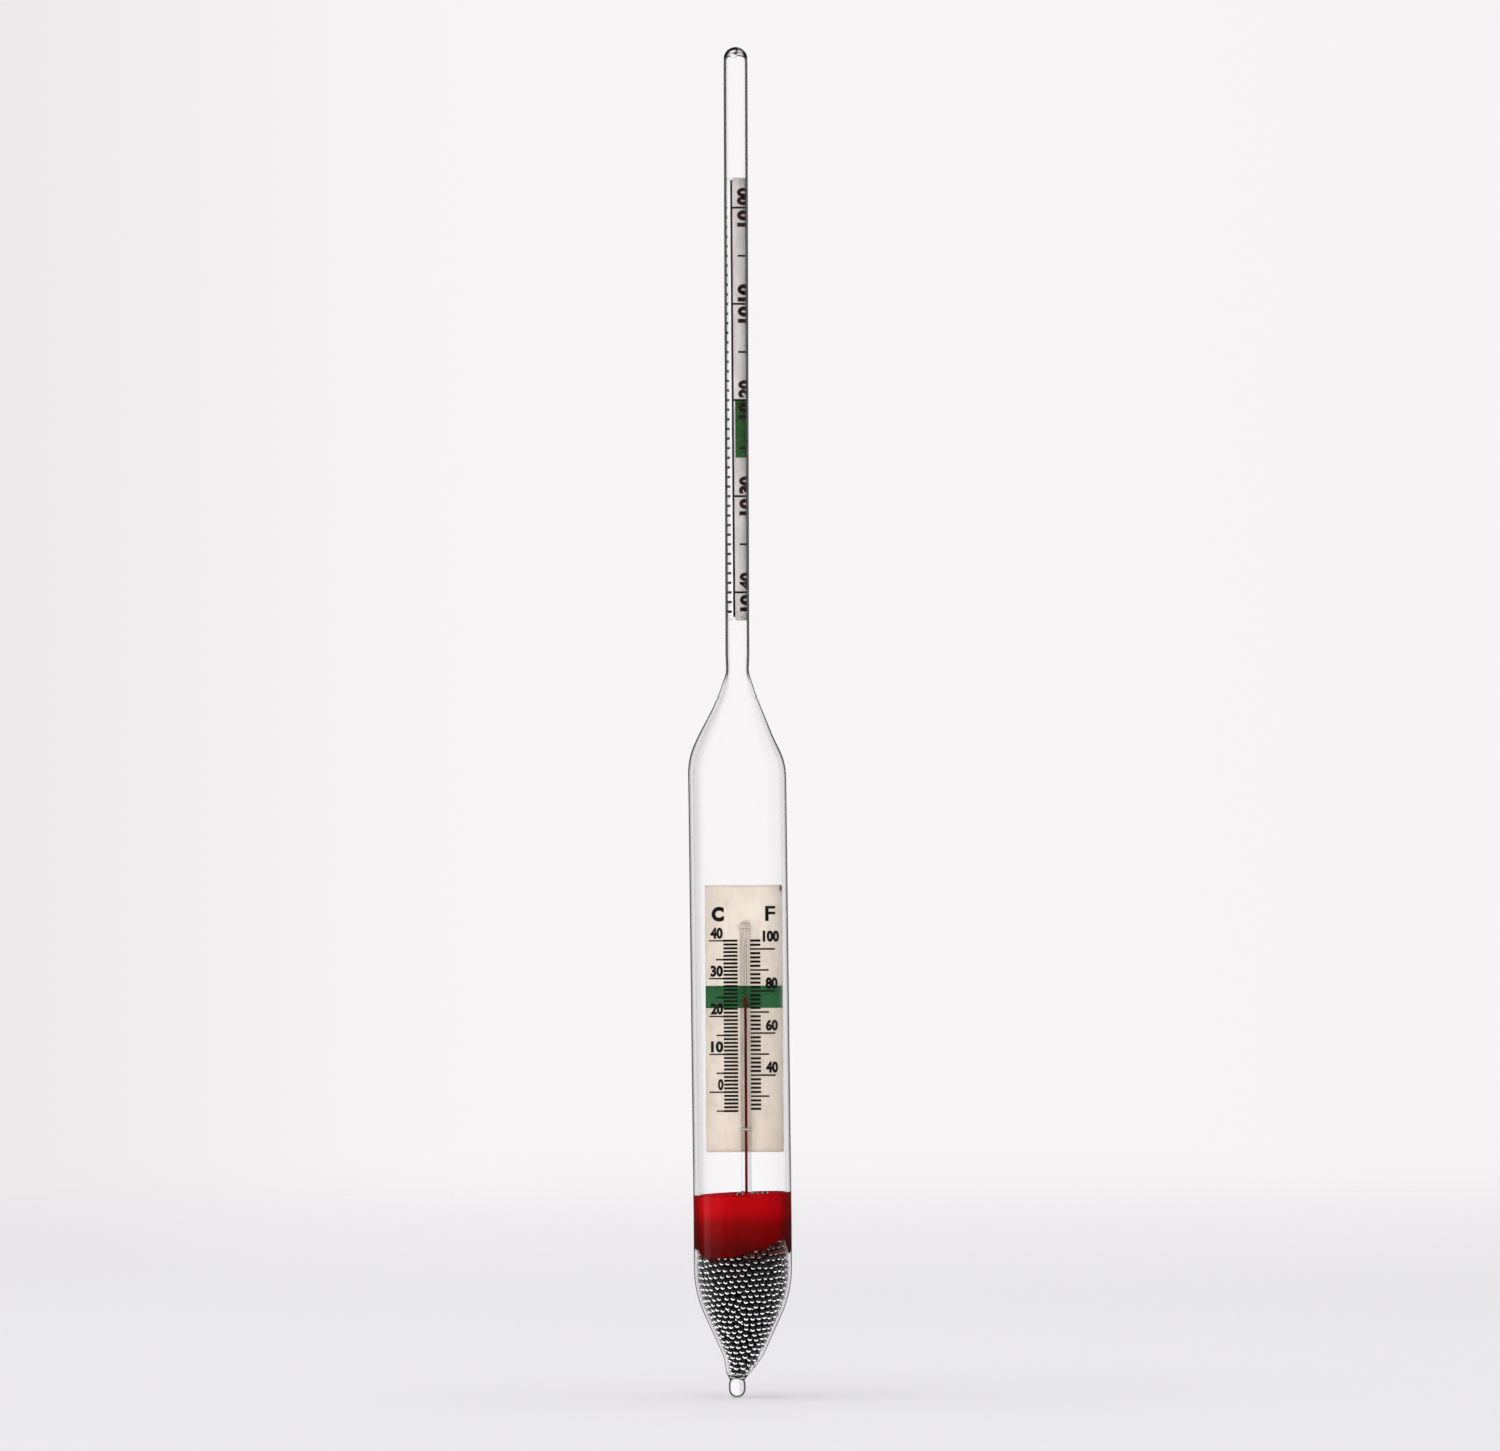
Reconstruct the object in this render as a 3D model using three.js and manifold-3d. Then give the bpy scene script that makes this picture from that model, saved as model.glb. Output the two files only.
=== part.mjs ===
// A glass hydrometer with a spirit thermometer sealed inside its body.
//
// The frame is in millimetres: +Z runs up the instrument's axis, and the origin is the tip of the tail.
// Both scales are read from the -Y side, with +X to the reader's right.

import * as THREE from "three";
import { mergeVertices } from "three/addons/utils/BufferGeometryUtils.js";
import Module from "manifold-3d";

// ---- Driving dimensions ----

// Glass envelope. A slope is the radius gained or lost for each millimetre of height.
const LENGTH = 270;
const STEM_RADIUS = 2.38;
const STEM_WALL = 0.32;
const DOME_HEIGHT = 2.4;
const DOME_THICKNESS = 1.05;
const NECK_RADIUS = 2.26;
const NECK_HEIGHT = 145;
const NECK_FILLET = 2.5;
const WELD_RADIUS = 3.95;
const WELD_HEIGHT = 139.8;
const WELD_WALL = 0.6;
const BODY_RADIUS = 9.8;
const BODY_WALL = 0.9;
const CONE_WALL = 0.46;
const THICK_WALL_HEIGHT = 36;
const SHOULDER_HEIGHT = 127.2;
const SHOULDER_SLOPE = 0.46;
const SHOULDER_FILLET = 3;
const CONE_HEIGHT = 21;
const CONE_SLOPE = 0.455;
const CONE_FILLET = 5;
const CONE_FOOT = 5;
const TAIL_RADIUS = 1.68;
const TAIL_WAIST_RADIUS = 1.6;
const TAIL_WAIST_HEIGHT = 3.4;
const TAIL_FLOOR = 4.1;

// How far the centre line of the hand-blown glass wanders from the straight axis: in X at some heights.
const TAIL_DRIFT = -1.26;
const TAIL_DRIFT_FOOT = 3;
const TAIL_DRIFT_TOP = 9;
const BODY_DRIFT = -0.6;
const BODY_DRIFT_FOOT = 36;
const BODY_DRIFT_TOP = 125;
const SHOULDER_DRIFT = -0.34;
const SHOULDER_DRIFT_HEIGHT = 131.5;
const SHOULDER_DRIFT_SPREAD = 4.5;
const NECK_DRIFT = -0.42;
const STEM_TOP_DRIFT = -0.12;

// Specific gravity scale: a paper rolled up inside the stem.
const SCALE_BOTTOM = 155.3;
const SCALE_TOP = 243.8;
const SCALE_RADIUS = 2;
const PAPER_THICKNESS = 0.1;
const SCALE_SEAM_ANGLE = THREE.MathUtils.degToRad(8);

// Thermometer card, which stands off the axis with its side edges curled towards the reader.
const CARD_WIDTH = 15.6;
const CARD_THICKNESS = 0.25;
const CARD_BOTTOM = 49;
const CARD_TOP = 102.4;
const CARD_X = 0.6;
const CARD_FRONT_Y = 0.35;
const CARD_CURL = 0.45;

// Thermometer: a capillary glued on the card, fused to a bulb that the wax hides.
const CAPILLARY_RADIUS = 1.03;
const CAPILLARY_X = 0.8;
const BORE_RADIUS = 0.2;
const CAPILLARY_BOTTOM = 39.4;
const CAPILLARY_TOP = 95.2;
const CHAMBER_RADIUS = 0.28;
const CHAMBER_LENGTH = 1;
const BULB_BOTTOM = 30.6;
const BULB_RADIUS = 2.1;
const BULB_WALL = 0.4;
const BULB_SHOULDER = 37.4;
const SPIRIT_FLOOR = 38.9;
const SPIRIT_CLEARANCE = 0.02;

// The thread reads degrees Celsius on a straight scale.
const ZERO_C_HEIGHT = 61.0;
const MM_PER_DEGREE = 0.757;
const REST_CELSIUS = 25;

// Glue that holds the capillary, and the dab at the card's upper right corner.
const LOWER_BEAD_HEIGHT = 53.6;
const UPPER_BEAD_HEIGHT = 94.1;
const BEAD_RADII = [1.36, 1.24, 0.7];
const DAB_RADII = [0.3, 0.28, 0.65];

// Ballast: steel shot under a plug of wax, whose top lies aslant and whose foot soaks into the shot.
const WAX_TOP = 40.6;
const WAX_TILT = 0.035;
const MELT_HEIGHT = 29;
const MELT_SLOPE = 0.33;
const MELT_EDGE_RISE = 5;
const SHOT_RADIUS = 0.63;
const STRAY_SHOT = [
  [-0.5, -3.4],
  [2.5, -4.6],
  [4.4, -3.2],
];

// Clearances between pieces that touch on the real object.
const WALL_GAP = 0.12;
const GLUE_GAP = 0.06;

// Sides of a wide and of a thin round piece, and steps along each curve of an outline.
const ROUND = 32;
const THIN_ROUND = 20;
const CURVE_STEPS = 3;

const wasm = await Module();
wasm.setup();

// ---- Helpers ----

// A lathe turned about Z from a path of radius and height that goes up on the outside.
function turned(points, segments = ROUND) {
  return new THREE.LatheGeometry(points, segments).rotateX(Math.PI / 2);
}

function bare(geometry) {
  const copy = geometry.clone();
  copy.deleteAttribute("normal");
  copy.deleteAttribute("uv");
  return mergeVertices(copy, 1e-3);
}

function solidFrom(geometry) {
  const merged = bare(geometry);
  return new wasm.Manifold(
    new wasm.Mesh({
      numProp: 3,
      vertProperties: merged.attributes.position.array,
      triVerts: new Uint32Array(merged.index.array),
    }),
  );
}

function geometryFrom(solid) {
  const mesh = solid.getMesh();
  const geometry = new THREE.BufferGeometry();
  geometry.setAttribute("position", new THREE.BufferAttribute(mesh.vertProperties, 3));
  geometry.setIndex(new THREE.BufferAttribute(mesh.triVerts, 1));
  geometry.computeVertexNormals();
  return geometry;
}

// Moves every vertex by a rule that maps it in place.
function reshaped(geometry, rule) {
  const position = geometry.attributes.position;
  const vertex = new THREE.Vector3();
  for (let i = 0; i < position.count; i++) {
    vertex.fromBufferAttribute(position, i);
    rule(vertex);
    position.setXYZ(i, vertex.x, vertex.y, vertex.z);
  }
  geometry.computeVertexNormals();
  return geometry;
}

function ellipsoid([rx, ry, rz]) {
  return new THREE.SphereGeometry(1, 14, 8).rotateX(Math.PI / 2).scale(rx, ry, rz);
}

const { clamp, lerp, smoothstep } = THREE.MathUtils;

// Shifts a point of the glass, or of what it holds, to where the glass has drifted from the axis.
function drift(vertex) {
  const height = vertex.z;
  const tail = TAIL_DRIFT * (1 - smoothstep(height, TAIL_DRIFT_FOOT, TAIL_DRIFT_TOP));
  const lean = clamp((height - BODY_DRIFT_FOOT) / (BODY_DRIFT_TOP - BODY_DRIFT_FOOT), 0, 1);
  const slump = Math.exp(-(((height - SHOULDER_DRIFT_HEIGHT) / SHOULDER_DRIFT_SPREAD) ** 2));
  const body = BODY_DRIFT * lean + SHOULDER_DRIFT * slump;
  const stem = lerp(NECK_DRIFT, STEM_TOP_DRIFT, (height - NECK_HEIGHT) / (LENGTH - NECK_HEIGHT));
  vertex.x += tail + lerp(body, stem, smoothstep(height, SHOULDER_DRIFT_HEIGHT, NECK_HEIGHT + 1));
}

// ---- Outlines ----

// Adds a round turn from the path's end, past a corner, towards a direction.
function fillet(path, cornerR, cornerZ, length, slope) {
  const along = length / Math.hypot(1, slope);
  path.quadraticCurveTo(cornerR, cornerZ, cornerR + slope * along, cornerZ + along);
}

// How far the cone and the foot of the wall lie inside the outline, where the wall above lies in by an inset.
function coneInset(inset) {
  return Math.max(0, inset - (BODY_WALL - CONE_WALL));
}

// The body's cone, wall and shoulder, moved inwards by an inset, from the foot of the cone to the weld.
function addBodySide(path, inset, weldRadius) {
  const radius = BODY_RADIUS - inset;
  const lowInset = coneInset(inset);
  const lowRadius = BODY_RADIUS - lowInset;
  const coneCorner = CONE_HEIGHT + lowInset * (Math.hypot(1, CONE_SLOPE) - 1) / CONE_SLOPE;
  const shoulderCorner =
    SHOULDER_HEIGHT - inset * (Math.hypot(1, SHOULDER_SLOPE) - 1) / SHOULDER_SLOPE;
  const coneEnd = CONE_FILLET / Math.hypot(1, CONE_SLOPE);
  path.lineTo(lowRadius - CONE_SLOPE * coneEnd, coneCorner - coneEnd);
  fillet(path, lowRadius, coneCorner, CONE_FILLET, 0);
  path.lineTo(radius, THICK_WALL_HEIGHT);
  path.lineTo(radius, shoulderCorner - SHOULDER_FILLET);
  fillet(path, radius, shoulderCorner, SHOULDER_FILLET, -SHOULDER_SLOPE);
  path.lineTo(weldRadius, WELD_HEIGHT);
}

function coneRadius(height, inset) {
  const across = inset * Math.hypot(1, CONE_SLOPE);
  return BODY_RADIUS - (CONE_HEIGHT - height) * CONE_SLOPE - across;
}

// The inside of the body below the weld, or of what fills it, from the axis at the floor upwards.
function bodyInside(inset) {
  const floor = TAIL_FLOOR + inset - BODY_WALL;
  const foot = floor + 1.1;
  const footRadius = coneRadius(foot, coneInset(inset));
  const path = new THREE.Path().moveTo(0, floor);
  path.quadraticCurveTo(0.7 * footRadius, floor, footRadius, foot);
  addBodySide(path, inset, WELD_RADIUS - WELD_WALL);
  return path.getPoints(CURVE_STEPS);
}

function bodyOutside() {
  const path = new THREE.Path().moveTo(0, 0);
  path.bezierCurveTo(0.8 * TAIL_RADIUS, 0.1, TAIL_RADIUS, 1.2, TAIL_RADIUS, 2.4);
  path.lineTo(TAIL_WAIST_RADIUS, TAIL_WAIST_HEIGHT);
  path.quadraticCurveTo(
    TAIL_WAIST_RADIUS + 0.3, TAIL_WAIST_HEIGHT + 0.8, coneRadius(CONE_FOOT, 0), CONE_FOOT,
  );
  addBodySide(path, 0, WELD_RADIUS);
  return path.getPoints(CURVE_STEPS);
}

// ---- Glass envelope ----

function bodyGlass() {
  const profile = [...bodyOutside(), ...bodyInside(BODY_WALL).reverse()];
  return reshaped(turned(profile), drift);
}

function stemSide(inset, weldRadius) {
  const slope = (NECK_RADIUS - WELD_RADIUS) / (NECK_HEIGHT - WELD_HEIGHT);
  const path = new THREE.Path().moveTo(weldRadius, WELD_HEIGHT);
  path.lineTo(NECK_RADIUS - inset - slope, NECK_HEIGHT - 1);
  path.quadraticCurveTo(NECK_RADIUS - inset, NECK_HEIGHT, NECK_RADIUS - inset, NECK_HEIGHT + 1);
  path.lineTo(STEM_RADIUS - inset, NECK_HEIGHT + 1 + NECK_FILLET);
  const springing = LENGTH - DOME_HEIGHT;
  const rise = DOME_HEIGHT - (inset > 0 ? DOME_THICKNESS : 0);
  path.lineTo(STEM_RADIUS - inset, springing);
  path.absellipse(0, springing, STEM_RADIUS - inset, rise, 0, Math.PI / 2, false);
  return path.getPoints(CURVE_STEPS);
}

function stemTube() {
  const inside = stemSide(STEM_WALL, WELD_RADIUS - WELD_WALL);
  const outside = stemSide(0, WELD_RADIUS);
  return reshaped(turned([...inside.reverse(), ...outside], THIN_ROUND), drift);
}

// ---- Paper ----

function stemScale() {
  const start = Math.PI / 2 + SCALE_SEAM_ANGLE / 2;
  const end = start + 2 * Math.PI - SCALE_SEAM_ANGLE;
  const sheet = new THREE.Shape();
  sheet.absarc(0, 0, SCALE_RADIUS, start, end, false);
  sheet.absarc(0, 0, SCALE_RADIUS - PAPER_THICKNESS, end, start, true);
  const geometry = new THREE.ExtrudeGeometry(sheet, {
    depth: SCALE_TOP - SCALE_BOTTOM,
    bevelEnabled: false,
    curveSegments: 28,
  });
  return reshaped(geometry.translate(0, 0, SCALE_BOTTOM), drift);
}

// The card's front face at a distance from its middle.
function cardFront(across) {
  return CARD_FRONT_Y - CARD_CURL * (2 * across / CARD_WIDTH) ** 2;
}

function thermometerCard() {
  const steps = 16;
  const across = Array.from({ length: steps + 1 }, (_, i) => CARD_WIDTH * (i / steps - 0.5));
  const front = across.map((x) => new THREE.Vector2(x, cardFront(x)));
  const back = across.map((x) => new THREE.Vector2(x, cardFront(x) + CARD_THICKNESS));
  const geometry = new THREE.ExtrudeGeometry(new THREE.Shape([...front, ...back.reverse()]), {
    depth: CARD_TOP - CARD_BOTTOM,
    bevelEnabled: false,
  });
  return geometry.translate(CARD_X, 0, CARD_BOTTOM);
}

// ---- Thermometer ----

const capillaryY = CARD_FRONT_Y - CAPILLARY_RADIUS - GLUE_GAP;
const restHeight = ZERO_C_HEIGHT + MM_PER_DEGREE * REST_CELSIUS;

// A tube that is open below, with a round closed end and a wider chamber at the top of its bore.
function capillaryTube() {
  const boreTop = CAPILLARY_TOP - 0.7;
  const chamberFoot = boreTop - CHAMBER_LENGTH;
  const path = new THREE.Path().moveTo(0, boreTop);
  path.quadraticCurveTo(CHAMBER_RADIUS, boreTop, CHAMBER_RADIUS, boreTop - 0.3);
  path.lineTo(CHAMBER_RADIUS, chamberFoot + 0.3);
  path.lineTo(BORE_RADIUS, chamberFoot);
  path.lineTo(BORE_RADIUS, CAPILLARY_BOTTOM);
  path.lineTo(CAPILLARY_RADIUS, CAPILLARY_BOTTOM);
  path.lineTo(CAPILLARY_RADIUS, CAPILLARY_TOP - 0.6);
  path.absellipse(0, CAPILLARY_TOP - 0.6, CAPILLARY_RADIUS, 0.6, 0, Math.PI / 2, false);
  return turned(path.getPoints(CURVE_STEPS), THIN_ROUND);
}

// The inside of the bulb, or of what fills it, as a path from the axis at its floor to the bore.
function bulbInside(inset, boreRadius, top) {
  const radius = BULB_RADIUS - inset;
  const floor = BULB_BOTTOM + inset;
  const path = new THREE.Path().moveTo(0, floor);
  path.absellipse(0, floor + radius, radius, radius, -Math.PI / 2, 0, false);
  path.lineTo(radius, BULB_SHOULDER);
  path.bezierCurveTo(radius, BULB_SHOULDER + 0.9, boreRadius, SPIRIT_FLOOR - 0.7, boreRadius, top);
  return path.getPoints(CURVE_STEPS);
}

function bulbOutside(inset) {
  const radius = BULB_RADIUS - inset;
  const neck = CAPILLARY_RADIUS - inset;
  const path = new THREE.Path().moveTo(0, BULB_BOTTOM + inset);
  path.absellipse(0, BULB_BOTTOM + inset + radius, radius, radius, -Math.PI / 2, 0, false);
  path.lineTo(radius, BULB_SHOULDER);
  path.bezierCurveTo(
    radius, BULB_SHOULDER + 1.2, neck, CAPILLARY_BOTTOM - 1.2, neck, CAPILLARY_BOTTOM,
  );
  return path.getPoints(CURVE_STEPS);
}

function thermometerBulb() {
  const inside = bulbInside(BULB_WALL, BORE_RADIUS, CAPILLARY_BOTTOM);
  return turned([...bulbOutside(0), ...inside.reverse()], THIN_ROUND);
}

// The dyed spirit in the bulb, up to where the moving thread begins.
function bulbSpirit() {
  const inset = BULB_WALL + GLUE_GAP;
  const threadRadius = BORE_RADIUS - SPIRIT_CLEARANCE;
  const profile = bulbInside(inset, threadRadius, SPIRIT_FLOOR);
  return turned([...profile, new THREE.Vector2(0, SPIRIT_FLOOR)], THIN_ROUND);
}

// The thread in the bore, from the bulb to its level at rest.
function spiritColumn() {
  const radius = BORE_RADIUS - SPIRIT_CLEARANCE;
  const profile = [
    new THREE.Vector2(0, SPIRIT_FLOOR),
    new THREE.Vector2(radius, SPIRIT_FLOOR),
    new THREE.Vector2(radius, restHeight),
    new THREE.Vector2(0, restHeight),
  ];
  return turned(profile, THIN_ROUND);
}

// A bead of clear glue that grips the capillary and ends flat on the card.
function glueBead(height) {
  const bead = solidFrom(ellipsoid(BEAD_RADII).translate(0, 0, height));
  const length = CAPILLARY_TOP - CAPILLARY_BOTTOM;
  const tube = new THREE.CylinderGeometry(
    CAPILLARY_RADIUS + GLUE_GAP, CAPILLARY_RADIUS + GLUE_GAP, length, THIN_ROUND,
  );
  tube.rotateX(Math.PI / 2).translate(0, 0, height);
  const behind = new THREE.BoxGeometry(6, 4, 6);
  behind.translate(0, CARD_FRONT_Y - GLUE_GAP - capillaryY + 2, height);
  return geometryFrom(bead.subtract(solidFrom(tube)).subtract(solidFrom(behind)));
}

// ---- Ballast ----

// The ragged surface where the wax ends among the heaped shot: it rises to the right and at the left wall.
function meltHeight(x, y) {
  const edge = MELT_EDGE_RISE * Math.max(0, -x / BODY_RADIUS) ** 4;
  const ripple = 0.35 * Math.sin(1.1 * x + 0.6) * Math.cos(0.9 * y);
  return MELT_HEIGHT + MELT_SLOPE * x + edge + ripple;
}

// Rings from the wall to the axis, or back, on which a surface can be shaped.
function rings(radius, height, count) {
  return Array.from(
    { length: count + 1 },
    (_, i) => new THREE.Vector2(radius * (1 - i / count), height),
  );
}

// Radii of the wax, which lies in the thick wall above and the thinner one at its foot.
const fillRadius = BODY_RADIUS - BODY_WALL - WALL_GAP;
const footRadius = fillRadius + 0.55 * (BODY_WALL - CONE_WALL);

function waxTop(x) {
  return WAX_TOP + WAX_TILT * x;
}

function waxPlug() {
  const lowest = MELT_HEIGHT - 2;
  const foot = rings(footRadius, lowest, 8).reverse();
  const profile = [
    ...foot,
    new THREE.Vector2(fillRadius, THICK_WALL_HEIGHT),
    new THREE.Vector2(fillRadius, WAX_TOP),
    new THREE.Vector2(0, WAX_TOP),
  ];
  const block = reshaped(turned(profile), (vertex) => {
    if (vertex.z === THICK_WALL_HEIGHT) return;
    const top = vertex.z > MELT_HEIGHT;
    vertex.z = top ? waxTop(vertex.x) : meltHeight(vertex.x, vertex.y);
  });
  let solid = solidFrom(block);
  const above = WAX_TOP + 3;
  const hole = [
    ...bulbOutside(-GLUE_GAP),
    new THREE.Vector2(CAPILLARY_RADIUS + GLUE_GAP, above),
    new THREE.Vector2(0, above),
  ];
  const bulb = turned(hole, THIN_ROUND).translate(CAPILLARY_X, capillaryY, 0);
  solid = solid.subtract(solidFrom(bulb));
  for (const [x, y] of STRAY_SHOT) {
    const pocket = new THREE.SphereGeometry(SHOT_RADIUS + GLUE_GAP, 12, 8);
    solid = solid.subtract(solidFrom(pocket.translate(x, y, waxTop(x))));
  }
  return geometryFrom(solid);
}

// The shot as one block of the space that it fills.
function shotBed() {
  const top = MELT_HEIGHT;
  const side = bodyInside(BODY_WALL + WALL_GAP).filter((point) => point.y < top - 1);
  const cover = rings(footRadius, top, 8);
  return reshaped(turned([...side, ...cover]), (vertex) => {
    if (vertex.z > top - 0.5) vertex.z = meltHeight(vertex.x, vertex.y) - 2 * WALL_GAP;
    drift(vertex);
  });
}

// ---- Materials ----

function material(color, roughness, extra = {}) {
  return new THREE.MeshStandardMaterial({ color, roughness, metalness: 0, ...extra });
}

const clear = { transparent: true, opacity: 0.25 };
const glass = material(0xf4f8f8, 0.05, clear);
const paper = material(0xe9e4e2, 0.8);
const card = material(0xe0d0c2, 0.8);
const redSpirit = material(0x8c0812, 0.2);
const redWax = material(0xb00010, 0.35);
const steel = material(0x55565a, 0.25, { metalness: 1 });
const glue = material(0xf2eedf, 0.2, { transparent: true, opacity: 0.6 });
const darkGlue = material(0x1c1814, 0.5);

// ---- Assembly ----

const hydrometer = new THREE.Group();

function add(parent, name, geometry, look) {
  const mesh = new THREE.Mesh(geometry, look);
  mesh.name = name;
  parent.add(mesh);
  return mesh;
}

add(hydrometer, "body_glass", bodyGlass(), glass);
add(hydrometer, "stem_tube", stemTube(), glass);
add(hydrometer, "stem_scale", stemScale(), paper);
add(hydrometer, "thermometer_card", thermometerCard(), card);
add(hydrometer, "wax_plug", waxPlug(), redWax);
add(hydrometer, "shot_bed", shotBed(), steel);

const thermometer = new THREE.Group();
thermometer.position.set(CAPILLARY_X, capillaryY, 0);
hydrometer.add(thermometer);
add(thermometer, "capillary_tube", capillaryTube(), glass);
add(thermometer, "thermometer_bulb", thermometerBulb(), glass);
add(thermometer, "bulb_spirit", bulbSpirit(), redSpirit);
add(thermometer, "spirit_column", spiritColumn(), redSpirit);
add(thermometer, "lower_glue_bead", glueBead(LOWER_BEAD_HEIGHT), glue);
add(thermometer, "upper_glue_bead", glueBead(UPPER_BEAD_HEIGHT), glue);

STRAY_SHOT.forEach(([x, y], i) => {
  const ball = new THREE.SphereGeometry(SHOT_RADIUS, 12, 8);
  add(hydrometer, `stray_shot_${i + 1}`, ball, steel).position.set(x, y, waxTop(x));
});

const dabAcross = CARD_WIDTH / 2 - 0.36;
const dab = add(hydrometer, "card_glue_dab", ellipsoid(DAB_RADII), darkGlue);
dab.position.set(
  CARD_X + dabAcross, cardFront(dabAcross) - DAB_RADII[1] - GLUE_GAP, CARD_TOP - DAB_RADII[2],
);

export default hydrometer;
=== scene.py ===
"""A glass hydrometer with a spirit thermometer sealed inside it, standing on its tail in a white studio.

Lengths are in metres. +Z runs up the instrument's axis, and both scales are read from the -Y side.
"""
import math

import bmesh
import bpy
import numpy as np
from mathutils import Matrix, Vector, noise


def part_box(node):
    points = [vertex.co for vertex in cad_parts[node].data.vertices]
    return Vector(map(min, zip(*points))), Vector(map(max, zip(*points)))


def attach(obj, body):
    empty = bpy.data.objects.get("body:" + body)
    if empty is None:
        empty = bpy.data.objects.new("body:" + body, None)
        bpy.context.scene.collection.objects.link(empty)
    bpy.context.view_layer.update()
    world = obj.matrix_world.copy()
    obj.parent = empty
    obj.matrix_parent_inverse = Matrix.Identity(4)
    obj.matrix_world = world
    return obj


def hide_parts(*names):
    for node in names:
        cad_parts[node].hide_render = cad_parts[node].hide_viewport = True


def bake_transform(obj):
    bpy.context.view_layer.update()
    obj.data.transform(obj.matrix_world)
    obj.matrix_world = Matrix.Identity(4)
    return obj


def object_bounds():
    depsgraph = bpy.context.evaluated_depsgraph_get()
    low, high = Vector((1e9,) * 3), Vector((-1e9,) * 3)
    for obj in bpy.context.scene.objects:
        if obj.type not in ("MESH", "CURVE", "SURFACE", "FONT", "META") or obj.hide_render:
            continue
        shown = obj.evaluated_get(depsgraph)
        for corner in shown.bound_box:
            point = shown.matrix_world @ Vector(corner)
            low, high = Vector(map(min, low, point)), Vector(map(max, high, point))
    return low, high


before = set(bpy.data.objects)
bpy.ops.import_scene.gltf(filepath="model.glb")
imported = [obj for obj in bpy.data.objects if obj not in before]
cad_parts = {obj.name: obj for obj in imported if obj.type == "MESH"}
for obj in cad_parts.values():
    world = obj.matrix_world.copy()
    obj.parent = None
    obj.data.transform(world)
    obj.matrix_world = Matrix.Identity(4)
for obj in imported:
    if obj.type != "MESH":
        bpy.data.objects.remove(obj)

CAD_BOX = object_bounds()
LOW, HIGH = CAD_BOX
HEIGHT = HIGH.z

# ---- Dimensions of the glass ----

STEM_RADIUS = 2.38e-3
STEM_WALL = 0.32e-3
DOME_HEIGHT = 2.4e-3
DOME_THICKNESS = 1.05e-3
NECK_RADIUS = 2.26e-3
NECK_HEIGHT = 145e-3
NECK_FILLET = 0.6e-3
NECK_TOP = NECK_HEIGHT + 3.5e-3
WELD_RADIUS = 3.95e-3
WELD_HEIGHT = 139.8e-3
WELD_WALL = 0.6e-3
BODY_RADIUS = 9.8e-3
BODY_WALL = 0.9e-3
CONE_WALL = 0.46e-3
THICK_WALL_HEIGHT = 36e-3
SHOULDER_HEIGHT = 127.2e-3
SHOULDER_SLOPE = 0.46
SHOULDER_FILLET = 3e-3
CONE_HEIGHT = 21e-3
CONE_SLOPE = 0.455
CONE_FILLET = 5e-3
CONE_FOOT = 5.0e-3
TAIL_RADIUS = 1.68e-3
TAIL_TIP_HEIGHT = 1.7e-3
TAIL_SIDE_TOP = 2.5e-3
TAIL_WAIST_RADIUS = 1.6e-3
TAIL_WAIST_HEIGHT = 3.4e-3
TAIL_FLOOR = 4.1e-3
FLOOR_FILLET = 0.7e-3
TIP_SQUARENESS = 0.92
PIP_SHIFT = 0.35e-3
PIP_RADIUS = 0.75e-3
PIP_DROP = 0.95e-3

# ---- How far the glass's centre line wanders from the straight axis: in X, at some heights ----

TAIL_DRIFT = -1.26e-3
TAIL_DRIFT_FOOT = 3e-3
TAIL_DRIFT_TOP = 9e-3
BODY_DRIFT = -0.597e-3
BODY_DRIFT_FOOT = 36e-3
BODY_DRIFT_TOP = 125e-3
SHOULDER_DRIFT = -0.316e-3
SHOULDER_DRIFT_HEIGHT = 131.5e-3
SHOULDER_DRIFT_SPREAD = 4.5e-3
NECK_DRIFT = -0.42e-3
STEM_TOP_DRIFT = -0.12e-3

# ---- Dimensions of what is inside it ----

PAPER_RADIUS = 2.0e-3
PAPER_THICKNESS = 0.1e-3
CARD_CURL = 0.45e-3
CAPILLARY_RADIUS = 1.03e-3
BORE_RADIUS = 0.2e-3
BULB_RADIUS = 2.1e-3
BULB_WALL = 0.4e-3
BULB_SHOULDER = 37.4e-3
CHAMBER_RADIUS = 0.28e-3
CHAMBER_LENGTH = 1e-3
SHOT_RADIUS = 0.63e-3
WAX_TOP = 40.6e-3
WAX_TILT = 0.035
WAX_WIDTH = 18e-3
WAX_GRIP = 0.03e-3
MELT_HEIGHT = 29e-3
MELT_SLOPE = 0.33
MELT_RISE = 5e-3
WAXED_HEIGHT = 28.4e-3
SHOT_TOP = 33.5e-3
CARD_THICKNESS = 0.25e-3
INK = 0.02e-3
CARD_INK = 2 * INK

# ---- The two scales ----

GRAVITY_ZERO_HEIGHT = 237.8e-3
GRAVITY_STEP = -1.922e-3
CELSIUS_ZERO_HEIGHT = 61.0e-3
CELSIUS_STEP = 0.757e-3
FAHRENHEIT_STEP = CELSIUS_STEP * 5 / 9
FAHRENHEIT_ZERO_HEIGHT = CELSIUS_ZERO_HEIGHT - 32 * FAHRENHEIT_STEP

# On the stem's paper, places across are degrees round it from the front.
BASELINE = -26.5
STEM_TWIST = 11
STEM_LINE = 0.42e-3
LONG_MARK_END = 118
HALF_MARK_START = 6
BACK_MARK_START = -130
STEM_NUMBER_PLACE = 4
STEM_NUMBER_SIZE = (3.55e-3, 2.9e-3)
STEM_NUMBER_WEIGHT = 0.06

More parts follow.
